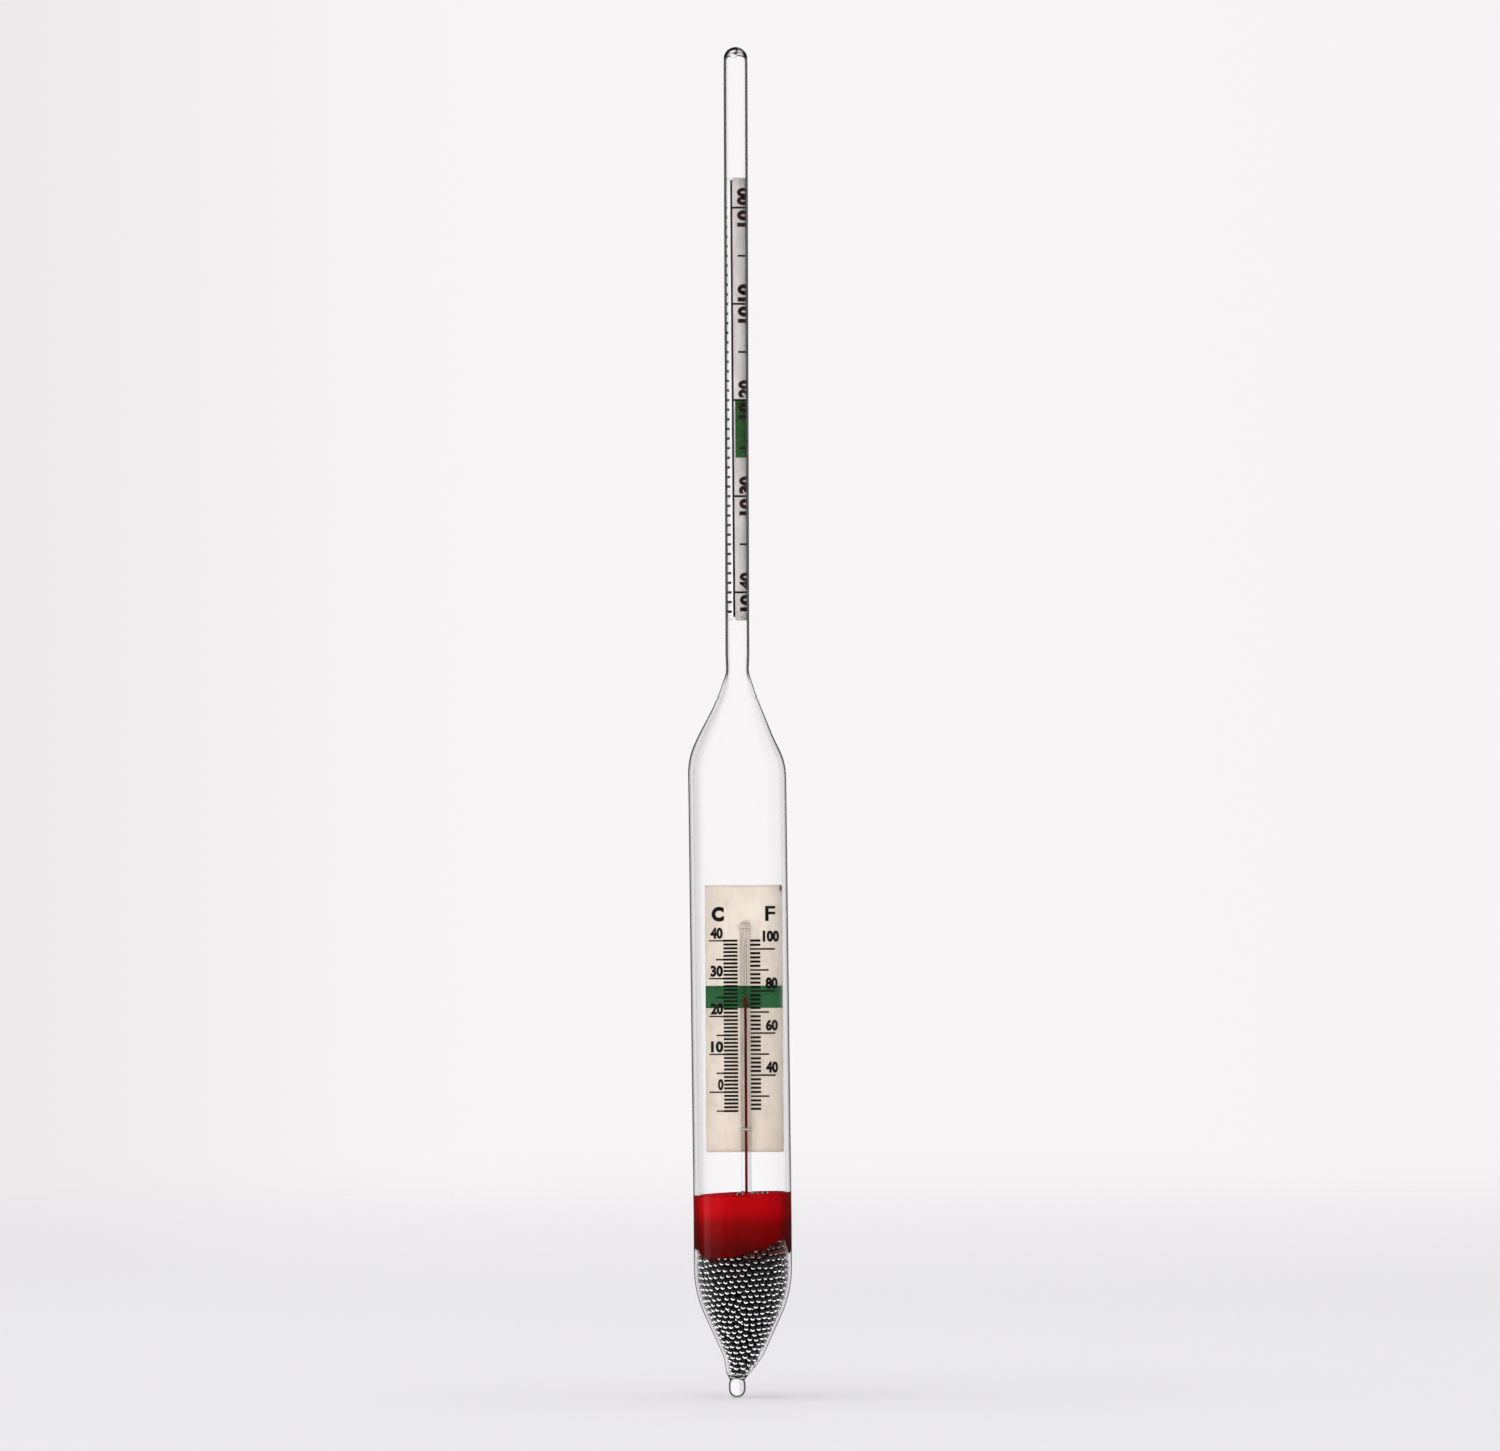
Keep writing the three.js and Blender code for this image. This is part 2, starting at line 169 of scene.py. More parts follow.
# On the card, they are metres from its middle.
PRINT_SHIFT = 0.1e-3
CELSIUS_MARK_START = -1.4e-3
CELSIUS_MARK_ENDS = {1: -4.26e-3, 5: -5.76e-3, 10: -7.16e-3}
FAHRENHEIT_MARK_START = 0.9e-3
FAHRENHEIT_MARK_ENDS = {2: 3.16e-3, 10: 4.82e-3, 20: 6.08e-3}
CARD_NUMBER_HEIGHT = 2.3e-3
CARD_LETTER_HEIGHT = 3.0e-3
CARD_BAND = (22.2, 28.1)

# ---- Camera and light ----

CAMERA_DISTANCE = 2.5
VIEW_WIDTH = 0.3
SENSOR = 36.0
CAMERA_ROLL = 0.32
CAMERA_OFFSET = Vector((2.03e-3, 0, -0.7e-3))
WALL_LIGHT = 0.935
THROUGH_LIGHT = 1.03
DIM_LIGHT = 0.03
RIM_DARK = 0.02
RIM_LIGHT = 0.85
MATT_LIGHT = 3.05
FLOOR_LIGHT = 0.84
GLOW_LIGHT = 1.9
STREAK_LIGHT = 0.35
FLOOR_RADIUS = 1.6
FLOOR_LEVEL = -1e-4
LAMP_PLACE = Vector((-0.4, -0.3, 1.6))

# ---- What the CAD says about some nodes ----

CARD_LOW, CARD_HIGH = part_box("thermometer_card")
CARD_X = (CARD_LOW.x + CARD_HIGH.x) / 2
CARD_WIDTH = CARD_HIGH.x - CARD_LOW.x
CARD_MIDDLE_Y = CARD_LOW.y + CARD_CURL
SCALE_LOW, SCALE_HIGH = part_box("stem_scale")
CAPILLARY_LOW, CAPILLARY_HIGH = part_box("capillary_tube")
CAPILLARY_X = (CAPILLARY_LOW.x + CAPILLARY_HIGH.x) / 2
CAPILLARY_Y = (CAPILLARY_LOW.y + CAPILLARY_HIGH.y) / 2
BULB_LOW, BULB_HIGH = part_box("thermometer_bulb")
THREAD_LOW, THREAD_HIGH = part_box("spirit_column")


# ---- Shapes: each one is a pair of vertices and faces ----


def merged(*shapes):
    """Several shapes as one."""
    verts, faces, start = [], [], 0
    for some_verts, some_faces in shapes:
        verts.append(np.asarray(some_verts, float).reshape(-1, 3))
        faces += [tuple(i + start for i in face) for face in some_faces]
        start += len(some_verts)
    return np.concatenate(verts), faces


def turned(profile, sides=96):
    """A solid of revolution. The profile is (radius, height) points that go up on the outside."""
    rings, verts, faces = [], [], []
    angles = np.arange(sides) * 2 * math.pi / sides
    for radius, height in profile:
        start = len(verts)
        if radius < 1e-9:
            verts.append((0, 0, height))
            rings.append([start] * sides)
        else:
            verts += [(radius * math.cos(a), radius * math.sin(a), height) for a in angles]
            rings.append(list(range(start, start + sides)))
    for lower, upper in zip(rings, rings[1:]):
        for i in range(sides):
            j = (i + 1) % sides
            face = tuple(dict.fromkeys((lower[i], lower[j], upper[j], upper[i])))
            if len(face) > 2:
                faces.append(face)
    return np.array(verts), faces


def flipped(shape):
    verts, faces = shape
    return verts, [face[::-1] for face in faces]


def moved(shape, x=0.0, y=0.0, z=0.0):
    return np.asarray(shape[0], float) + np.array([x, y, z]), shape[1]


def reshaped(shape, rule):
    """Every vertex moved by a rule from an array of places to an array of places."""
    return rule(np.asarray(shape[0], float)), shape[1]


def slab(u0, u1, v0, v1, low, high, columns=1, rows=1):
    """A closed block in flat coordinates: u across, v up and w out of the sheet."""
    us, vs = np.linspace(u0, u1, columns + 1), np.linspace(v0, v1, rows + 1)
    verts = [(u, v, w) for w in (low, high) for v in vs for u in us]
    layer, width = (columns + 1) * (rows + 1), columns + 1
    faces = []
    for r in range(rows):
        for c in range(columns):
            a = r * width + c
            faces.append((a, a + width, a + width + 1, a + 1))
            faces.append(tuple(layer + i for i in (a, a + 1, a + width + 1, a + width)))
    rim = list(range(columns)) + [r * width + columns for r in range(rows)]
    rim += [rows * width + c for c in range(columns, 0, -1)]
    rim += [r * width for r in range(rows, 0, -1)]
    for a, b in zip(rim, rim[1:] + rim[:1]):
        faces.append((a, b, layer + b, layer + a))
    return np.array(verts), faces


def ellipsoid(radii, sides=24, rings=14):
    steps = np.linspace(-math.pi / 2, math.pi / 2, rings + 1)
    profile = [(math.cos(t) * radii[0], math.sin(t) * radii[2]) for t in steps]
    profile[0], profile[-1] = (0, -radii[2]), (0, radii[2])
    verts, faces = turned(profile, sides)
    return verts * np.array([1, radii[1] / radii[0], 1]), faces


def ball_template(detail):
    bm = bmesh.new()
    bmesh.ops.create_icosphere(bm, subdivisions=detail, radius=SHOT_RADIUS)
    verts = np.array([v.co[:] for v in bm.verts])
    faces = np.array([[v.index for v in f.verts] for f in bm.faces])
    bm.free()
    return verts, faces


class Outline:
    """A path of (radius, height) points made of straight and curved runs."""

    def __init__(self, radius, height):
        self.points = [(radius, height)]

    def line(self, radius, height, steps=1):
        start = self.points[-1]
        for i in range(1, steps + 1):
            t = i / steps
            across = start[0] + (radius - start[0]) * t
            self.points.append((across, start[1] + (height - start[1]) * t))
        return self

    def bend(self, corner_radius, corner_height, radius, height, steps=10):
        start = self.points[-1]
        for i in range(1, steps + 1):
            t = i / steps
            a, b, c = (1 - t) ** 2, 2 * t * (1 - t), t * t
            across = a * start[0] + b * corner_radius + c * radius
            self.points.append((across, a * start[1] + b * corner_height + c * height))
        return self

    def dome(self, apex_height, steps=14):
        """A quarter of an ellipse up to a point on the axis."""
        radius, springing = self.points[-1]
        for i in range(1, steps + 1):
            t = i / steps * math.pi / 2
            across = radius * math.cos(t) if i < steps else 0.0
            self.points.append((across, springing + (apex_height - springing) * math.sin(t)))
        return self


# ---- Materials ----


class Graph:
    """The nodes of a material or of the world, with short ways to make and join them."""

    def __init__(self, owner):
        owner.use_nodes = True
        self.nodes, self.links = owner.node_tree.nodes, owner.node_tree.links

    def feed(self, socket, value):
        """Gives a socket a fixed value, or links it to another node's output."""
        if isinstance(value, bpy.types.NodeSocket):
            self.links.new(value, socket)
        else:
            socket.default_value = value

    def node(self, kind, *inputs, output=0, **settings):
        """One output of a new node, whose inputs are given in their order."""
        node = self.nodes.new(kind)
        for name, value in settings.items():
            setattr(node, name, value)
        for socket, value in zip(node.inputs, inputs):
            self.feed(socket, value)
        return node.outputs[output]

    def calc(self, operation, *values):
        return self.node("ShaderNodeMath", *values, operation=operation)

    def vector_calc(self, operation, *values, output="Vector"):
        return self.node("ShaderNodeVectorMath", *values, operation=operation, output=output)

    def product(self, first, *others):
        for other in others:
            first = self.calc("MULTIPLY", first, other)
        return first

    def spread(self, value, low, high, start=0.0, end=1.0, kind="SMOOTHSTEP"):
        """A value from low to high mapped to one from start to end."""
        return self.node("ShaderNodeMapRange", value, low, high, start, end, interpolation_type=kind)

    def mixed(self, factor, first, second, blend="MIX", kind="RGBA"):
        node = self.nodes.new("ShaderNodeMix")
        node.data_type, node.blend_type = kind, blend
        for socket, value in zip(("Factor", "A", "B"), (factor, first, second)):
            self.feed(node.inputs[socket], value)
        return node.outputs["Result"]

    def parts(self, vector):
        """The x, y and z of a vector."""
        node = self.nodes.new("ShaderNodeSeparateXYZ")
        self.links.new(vector, node.inputs[0])
        return node.outputs


class Finish(Graph):
    """A Principled material with helpers for its procedural parts."""

    def __init__(self, name, color, roughness, **values):
        self.material = bpy.data.materials.new(name)
        super().__init__(self.material)
        self.shader = next(n for n in self.nodes if n.type == "BSDF_PRINCIPLED")
        self.set("Base Color", (*color, 1))
        self.set("Roughness", roughness)
        for socket, value in values.items():
            self.set(socket.replace("_", " "), value)
        self.place = self.node("ShaderNodeTexCoord", output="Object")

    def set(self, socket, value):
        self.feed(self.shader.inputs[socket], value)

    def stretched(self, scale):
        mapping = self.nodes.new("ShaderNodeMapping")
        mapping.inputs["Scale"].default_value = scale
        self.links.new(self.place, mapping.inputs["Vector"])
        return mapping.outputs["Vector"]

    def noise(self, scale, detail=3.0, stretch=(1, 1, 1)):
        texture = self.nodes.new("ShaderNodeTexNoise")
        texture.inputs["Scale"].default_value = scale
        texture.inputs["Detail"].default_value = detail
        self.links.new(self.stretched(stretch), texture.inputs["Vector"])
        return texture.outputs["Fac"]

    def ramp(self, factor, *stops):
        ramp = self.nodes.new("ShaderNodeValToRGB")
        elements = ramp.color_ramp.elements
        while len(elements) < len(stops):
            elements.new(0.5)
        for element, (position, color) in zip(elements, stops):
            element.position = position
            element.color = (*color, 1)
        self.links.new(factor, ramp.inputs["Fac"])
        return ramp.outputs["Color"]

    def color(self, output):
        self.set("Base Color", output)

    def roughness(self, factor, low, high):
        self.set("Roughness", self.spread(factor, 0.0, 1.0, low, high, "LINEAR"))
        return self

    def bump(self, factor, distance, strength=1.0):
        bump = self.nodes.new("ShaderNodeBump")
        for socket, value in (("Strength", strength), ("Distance", distance), ("Height", factor)):
            self.feed(bump.inputs[socket], value)
        self.set("Normal", bump.outputs["Normal"])
        return self


def srgb(red, green, blue):
    """A colour given in screen values from 0 to 255, as linear light."""
    return tuple((c / 255) ** 2.2 for c in (red, green, blue))


def glass_finish(name, tint=(0.99, 0.996, 0.994), ior=1.5, shade=None, **values):
    """Clear glass with faint drawn streaks. A shade is a function that says where painted shade darkens
    it.
    """
    finish = Finish(name, tint, 0.0, Transmission_Weight=1.0, IOR=ior, **values)
    drawn = finish.noise(55, 2.0, (1, 1, 0.12))
    paler = tuple(min(1.0, c + 0.004) for c in tint)
    color = finish.ramp(drawn, (0.3, tint), (0.7, paler))
    if shade:
        # painted shade: the tint turns near black where the shade function says
        color = finish.mixed(shade(finish), color, (0.02, 0.02, 0.022, 1))
    finish.color(color)
    return finish.bump(drawn, 0.02e-3, 0.25).material


def facing(finish, low, high):
    """How far a surface turns away from the eye."""
    return finish.spread(finish.node("ShaderNodeLayerWeight", output="Facing"), low, high)


def rim_shade(finish):
    """Painted shade: dark rims on the outer glass where it turns from the eye, wide on stem and nub, and
    thin on the body, up to its shoulder.
    """
    z = finish.parts(finish.place)["Z"]
    stem = finish.spread(z, NECK_HEIGHT - 3e-3, NECK_HEIGHT)
    nub = finish.spread(z, TAIL_WAIST_HEIGHT - 0.2e-3, TAIL_WAIST_HEIGHT + 1.2e-3, 1.0, 0.0)
    body = finish.product(finish.spread(z, WAX_TOP, WAX_TOP + 8e-3), finish.calc("SUBTRACT", 1.0, stem))
    grown = finish.spread(z, SHOULDER_HEIGHT - 5e-3, SHOULDER_HEIGHT + 2e-3, 0.72, 0.98)
    wide = finish.product(facing(finish, 0.33, 0.42), finish.calc("ADD", stem, nub))
    return finish.calc("ADD", wide, finish.product(facing(finish, 0.64, 0.84), grown, body))


def dome_shade(finish):
    """Painted shade: a dark rim where the drop of glass that hangs inside the dome turns from the eye.
    """
    springing = HEIGHT - DOME_HEIGHT
    dome = finish.spread(finish.parts(finish.place)["Z"], springing - 0.3e-3, springing + 0.2e-3)
    return finish.product(facing(finish, 0.4, 0.55), dome)


def paper_finish(name, base, darker):
    finish = Finish(name, base, 0.75, Specular_IOR_Level=0.3)
    fibre = finish.noise(900, 5.0, (1, 1, 0.35))
    clouds = finish.ramp(finish.noise(90, 3.0), (0.35, darker), (0.65, base))
    flecks = finish.ramp(fibre, (0.3, (0.86, 0.85, 0.83)), (0.6, (1, 1, 1)))
    finish.color(finish.mixed(0.6, clouds, flecks, "MULTIPLY"))
    return finish.bump(fibre, 0.03e-3, 0.4).material


def ink_finish(name, color, paler, roughness=0.5):
    finish = Finish(name, color, roughness)
    speckle = finish.noise(2600, 4.0)
    finish.color(finish.ramp(speckle, (0.35, color), (0.75, paler)))
    return finish.roughness(speckle, roughness - 0.1, roughness + 0.15).material


def steel_finish():
    finish = Finish("shot_steel", (0.78, 0.78, 0.79), 0.08, Metallic=1.0)
    tarnish = finish.noise(700, 3.0)
    finish.color(finish.ramp(tarnish, (0.3, (0.62, 0.62, 0.63)), (0.7, (0.88, 0.88, 0.89))))
    finish.roughness(finish.noise(2400, 4.0), 0.04, 0.1)
    return finish.material


def waxed_steel_finish():
    """Balls that the wax has run over, under a brownish film."""
    finish = Finish("waxed_steel", (0.36, 0.16, 0.14), 0.1, Metallic=0.85)
    film = finish.noise(900, 3.0)
    finish.color(finish.ramp(film, (0.3, (0.2, 0.07, 0.06)), (0.7, (0.5, 0.27, 0.24))))
    return finish.roughness(film, 0.08, 0.2).material


def wax_finish():
    """Red wax that is brighter towards its top. Painted light makes it paler on its left and purplish on
    its right, and painted shade darkens both side edges.
    """
    deep, bright = (0.8, 0.7, 0.7), (1.15, 1.3, 1.4)
    finish = Finish("red_wax", deep, 0.4, Specular_IOR_Level=0.02)
    x, _, z = finish.parts(finish.place)
    upwards = finish.ramp(
        finish.spread(z, MELT_HEIGHT, WAX_TOP),
        (0.0, srgb(88, 4, 2)), (0.2, srgb(116, 0, 0)), (0.5, srgb(130, 0, 3)), (0.82, srgb(176, 0, 12)),
    )
    swirl = finish.noise(160, 3.0, (1, 1, 0.7))
    swirls = finish.mixed(0.6, upwards, finish.ramp(swirl, (0.3, deep), (0.7, bright)), "MULTIPLY")
    # Painted light and shade across the wax: paler on the left, purplish on the right, dark at both side
    # edges.
    across = finish.ramp(
        finish.calc("ADD", finish.calc("DIVIDE", x, WAX_WIDTH), 0.5),
        (0.03, (0.7, 0.72, 0.8)), (0.075, (1.5, 3.5, 4.5)), (0.28, (1.35, 2.6, 3.2)),
        (0.42, (1.0, 1.0, 1.0)), (0.88, (1.2, 1.2, 4.0)), (0.97, (0.7, 0.75, 1.3)),
    )
    finish.color(finish.vector_calc("MULTIPLY", swirls, across))
    finish.roughness(swirl, 0.28, 0.45)
    return finish.bump(finish.noise(900, 4.0), 0.05e-3, 0.3).material


def spirit_finish():
    finish = Finish("red_spirit", srgb(84, 0, 4), 0.15)
    depth = finish.noise(500, 2.0)
    finish.color(finish.ramp(depth, (0.3, srgb(84, 0, 3)), (0.7, srgb(120, 2, 8))))
    return finish.material


def glue_finish():
    finish = Finish("clear_glue", (0.9, 0.86, 0.8), 0.08, Alpha=0.35)
    lumps = finish.noise(1400, 3.0)
    finish.color(finish.ramp(lumps, (0.3, (0.8, 0.72, 0.62)), (0.7, (0.95, 0.92, 0.86))))
    return finish.bump(lumps, 0.05e-3, 0.5).material


def dark_glue_finish():
    finish = Finish("dark_glue", srgb(24, 18, 16), 0.35)
    lumps = finish.noise(1800, 3.0)
    finish.color(finish.ramp(lumps, (0.3, srgb(14, 10, 10)), (0.75, srgb(58, 44, 36))))
    return finish.bump(lumps, 0.05e-3, 0.6).material


# ---- Pieces ----


def piece(name, shape, material, body, replaces=(), smooth=True):
    """A named mesh that rides on a body, and stands for the CAD nodes it replaces."""
    verts, faces = shape
    mesh = bpy.data.meshes.new(name)
    mesh.from_pydata(np.asarray(verts).tolist(), [], [list(map(int, f)) for f in faces])
    mesh.validate()
    bm = bmesh.new()
    bm.from_mesh(mesh)
    bmesh.ops.remove_doubles(bm, verts=bm.verts, dist=1e-8)
    bm.to_mesh(mesh)
    bm.free()
    if smooth:
        mesh.shade_smooth()
    mesh.materials.append(material)
    obj = bpy.data.objects.new(name, mesh)
    bpy.context.scene.collection.objects.link(obj)
    if body:
        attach(obj, body)
    if replaces:
        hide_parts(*replaces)
    return obj


def smoothstep(values, low, high):
    t = np.clip((values - low) / (high - low), 0, 1)
    return t * t * (3 - 2 * t)


def drift(places):
    """Shifts points of the glass, or of what it holds, to where the hand-blown glass has drifted."""
    height = places[:, 2]
    tail = TAIL_DRIFT * (1 - smoothstep(height, TAIL_DRIFT_FOOT, TAIL_DRIFT_TOP))
    lean = np.clip((height - BODY_DRIFT_FOOT) / (BODY_DRIFT_TOP - BODY_DRIFT_FOOT), 0, 1)
    slump = np.exp(-(((height - SHOULDER_DRIFT_HEIGHT) / SHOULDER_DRIFT_SPREAD) ** 2))
    body = BODY_DRIFT * lean + SHOULDER_DRIFT * slump
    up = (height - NECK_HEIGHT) / (HEIGHT - NECK_HEIGHT)
    stem = NECK_DRIFT + (STEM_TOP_DRIFT - NECK_DRIFT) * up
    share = smoothstep(height, SHOULDER_DRIFT_HEIGHT, NECK_HEIGHT + 1e-3)
    places = places.copy()
    places[:, 0] += tail + body + (stem - body) * share
    return places


def cone_radius(height, inset):
    return BODY_RADIUS - (CONE_HEIGHT - height) * CONE_SLOPE - inset * math.hypot(1, CONE_SLOPE)


def add_body_side(path, inset, weld_radius, cone_inset=0.0):
    """The side of the body from the foot of its cone to the weld. The wall is thinner in the cone."""
    radius = BODY_RADIUS - inset
    low_radius = BODY_RADIUS - cone_inset
    cone_corner = CONE_HEIGHT + cone_inset * (math.hypot(1, CONE_SLOPE) - 1) / CONE_SLOPE
    shoulder_corner = SHOULDER_HEIGHT - inset * (math.hypot(1, SHOULDER_SLOPE) - 1) / SHOULDER_SLOPE
    cone_end = CONE_FILLET / math.hypot(1, CONE_SLOPE)
    shoulder_end = SHOULDER_FILLET / math.hypot(1, SHOULDER_SLOPE)
    path.line(low_radius - CONE_SLOPE * cone_end, cone_corner - cone_end, 10)
    path.bend(low_radius, cone_corner, low_radius, cone_corner + CONE_FILLET, 16)
    path.line(radius, THICK_WALL_HEIGHT, 8)
    path.line(radius, shoulder_corner - SHOULDER_FILLET, 40)
    slope_start = radius - SHOULDER_SLOPE * shoulder_end
    path.bend(radius, shoulder_corner, slope_start, shoulder_corner + shoulder_end, 12)
    path.line(weld_radius, WELD_HEIGHT, 12)
    return path


def add_stem_side(path, inset):
    """The side of the stem from the weld to where the dome springs."""
    slope = (NECK_RADIUS - WELD_RADIUS) / (NECK_HEIGHT - WELD_HEIGHT)
    neck = NECK_RADIUS - inset
    path.line(neck - slope * NECK_FILLET, NECK_HEIGHT - NECK_FILLET, 12)
    path.bend(neck, NECK_HEIGHT, neck, NECK_HEIGHT + NECK_FILLET, 8)
    path.line(STEM_RADIUS - inset, NECK_TOP, 8)
    path.line(STEM_RADIUS - inset, HEIGHT - DOME_HEIGHT, 60)
    return path


def weld_ripple(places):
    """Faint rings where the stem was welded on, and a slight waist under the dome."""
    places = places.copy()
    swell = np.ones(len(places))
    for height, width, size in (
        (WELD_HEIGHT + 0.6e-3, 0.35e-3, 0.026),
        (WELD_HEIGHT - 0.9e-3, 0.4e-3, 0.02),
        (HEIGHT - DOME_HEIGHT - 0.4e-3, 0.4e-3, -0.02),
    ):
        swell += size * np.exp(-(((places[:, 2] - height) / width) ** 2))
    places[:, :2] *= swell[:, None]
    return places


def glass_pip(places):
    """The drop of glass that hangs inside the closed top."""
    places = places.copy()
    apex = HEIGHT - DOME_THICKNESS
    away = np.hypot(places[:, 0] + PIP_SHIFT, places[:, 1]) / PIP_RADIUS
    near_top = np.clip((places[:, 2] - apex + 1.2e-3) / 0.8e-3, 0, 1)
    places[:, 2] -= PIP_DROP * np.exp(-(away**4)) * near_top
    return places


def hollow_outline():
    """The outline of the hollow, from the floor of the cone to the top of the stem."""
    foot = TAIL_FLOOR + FLOOR_FILLET
    foot_radius = cone_radius(foot, CONE_WALL)
    neck, stem = NECK_RADIUS - STEM_WALL, STEM_RADIUS - STEM_WALL
    inside = Outline(0, TAIL_FLOOR)
    inside.bend(TIP_SQUARENESS * foot_radius, TAIL_FLOOR, foot_radius, foot, 8)
    add_body_side(inside, BODY_WALL, WELD_RADIUS - WELD_WALL, CONE_WALL)
    inside.bend(neck, NECK_HEIGHT - 1e-3, neck, NECK_HEIGHT + 1e-3, 12)
    inside.line(stem, NECK_TOP, 8)
    inside.line(stem, HEIGHT - DOME_HEIGHT, 60).dome(HEIGHT - DOME_THICKNESS, 24)
    return inside.points


def make_envelope():
    """Body and stem are welded into one glass envelope, with its hollow."""
    outside = Outline(0, 0)
    outside.bend(TIP_SQUARENESS * TAIL_RADIUS, 0, TAIL_RADIUS, TAIL_TIP_HEIGHT, 12)
    outside.line(TAIL_RADIUS, TAIL_SIDE_TOP, 2)
    waist = TAIL_WAIST_RADIUS - 0.12e-3
    outside.bend(TAIL_RADIUS, 3e-3, waist, TAIL_WAIST_HEIGHT - 0.1e-3, 6)
    waist, cone = TAIL_WAIST_RADIUS + 0.1e-3, cone_radius(CONE_FOOT, 0)
    outside.bend(waist, TAIL_WAIST_HEIGHT + 0.5e-3, cone, CONE_FOOT, 12)
    add_body_side(outside, 0, WELD_RADIUS)
    add_stem_side(outside, 0).dome(HEIGHT, 18)
    outer = reshaped(turned(outside.points, 128), weld_ripple)
    inner = reshaped(turned(hollow_outline(), 128), glass_pip)
    shape = reshaped(merged(outer, flipped(inner)), drift)
    envelope = piece(
        "glass_envelope", shape, glass_finish("envelope_glass", shade=rim_shade), "instrument",
        ["body_glass", "stem_tube"],
    )
    inner_glass = glass_finish("envelope_inside", shade=dome_shade, Specular_Tint=(0.0, 0.0, 0.0, 1.0))
    envelope.data.materials.append(inner_glass)
    first_inner = len(outer[1])
    for face in envelope.data.polygons:
        face.material_index = int(face.index >= first_inner)


# ---- The stem's paper scale ----


def twist(heights):
    """The paper turns a little about the axis from top to bottom, in radians."""
    share = (SCALE_HIGH.z - heights) / (SCALE_HIGH.z - SCALE_LOW.z)
    return math.radians(STEM_TWIST) * (share - 0.05)


def on_stem(shape):
    """Wraps flat coordinates on the rolled paper: u is the arc from the front, w stands proud of it."""

    def wrap(places):
        angle = places[:, 0] / PAPER_RADIUS + twist(places[:, 1])
        radius = PAPER_RADIUS + places[:, 2]
        return drift(np.stack([radius * np.sin(angle), -radius * np.cos(angle), places[:, 1]], 1))

    return reshaped(shape, wrap)


def arc(degrees):
    return math.radians(degrees) * PAPER_RADIUS


def lettering(text, width, height, weight=0.0, thickness=INK):
    """A word as a closed mesh that fills width by height, with its lower left corner at the origin."""
    curve = bpy.data.curves.new("lettering", "FONT")
    curve.body = text
    curve.resolution_u = 3
    curve.extrude = 0.5
    curve.offset = weight
    carrier = bpy.data.objects.new("lettering", curve)
    bpy.context.scene.collection.objects.link(carrier)
    bpy.context.view_layer.update()
    mesh = carrier.to_mesh()
    bm = bmesh.new()
    bm.from_mesh(mesh)
    bmesh.ops.remove_doubles(bm, verts=bm.verts, dist=1e-5)
    verts = np.array([v.co[:] for v in bm.verts])
    faces = [[v.index for v in f.verts] for f in bm.faces]
    bm.free()
    carrier.to_mesh_clear()
    bpy.data.objects.remove(carrier)
    bpy.data.curves.remove(curve)
    low, high = verts.min(0), verts.max(0)
    size = np.array([width, height, thickness])
    return (verts - low) / (high - low) * size, faces


def sliced(shape, spacing):
    """Cuts a mesh into strips across u, so that it can follow a curved surface."""
    verts, faces = shape
    mesh = bpy.data.meshes.new("slices")
    mesh.from_pydata(np.asarray(verts).tolist(), [], faces)
    bm = bmesh.new()
    bm.from_mesh(mesh)
    bpy.data.meshes.remove(mesh)
    low, high = verts[:, 0].min(), verts[:, 0].max()
    normal = Vector((1, 0, 0))
    for cut in np.arange(low + spacing, high - spacing / 4, spacing):
        geom = bm.verts[:] + bm.edges[:] + bm.faces[:]
        bmesh.ops.bisect_plane(bm, geom=geom, dist=1e-9, plane_co=normal * cut, plane_no=normal)
    bm.verts.index_update()
    made = np.array([v.co[:] for v in bm.verts]), [[v.index for v in f.verts] for f in bm.faces]
    bm.free()
    return made


def gravity_height(points):
    """Height of a mark on the stem scale: points are thousandths above 1.000."""
    return GRAVITY_ZERO_HEIGHT + points * GRAVITY_STEP


def sideways(word, left, bottom):
    """Turns a word a quarter turn to the left, so that it reads upwards, and sets its corner."""

    def turn(places):
        height = places[:, 1].max()
        return np.stack([left + height - places[:, 1], bottom + places[:, 0], places[:, 2]], 1)

    return reshaped(word, turn)


def make_stem_paper():
    """Rolled paper with its seam at the back, and a grey column for the numbers."""
    gap, foot, top = math.degrees(0.15), SCALE_LOW.z, SCALE_HIGH.z
    paper = slab(arc(-180 + gap), arc(180 - gap), foot, top, -PAPER_THICKNESS, 0.0, 96, 40)
    white = paper_finish("white_paper", (0.93, 0.92, 0.92), (0.88, 0.87, 0.88))
    piece("scale_paper", on_stem(paper), white, "instrument", ["stem_scale"])
    tint = slab(arc(BASELINE + 7), arc(62), foot, top, 0.0, 0.004e-3, 30, 30)
    grey = paper_finish("grey_number_column", srgb(204, 199, 198), srgb(188, 182, 182))
    piece("scale_number_column", on_stem(tint), grey, "instrument")


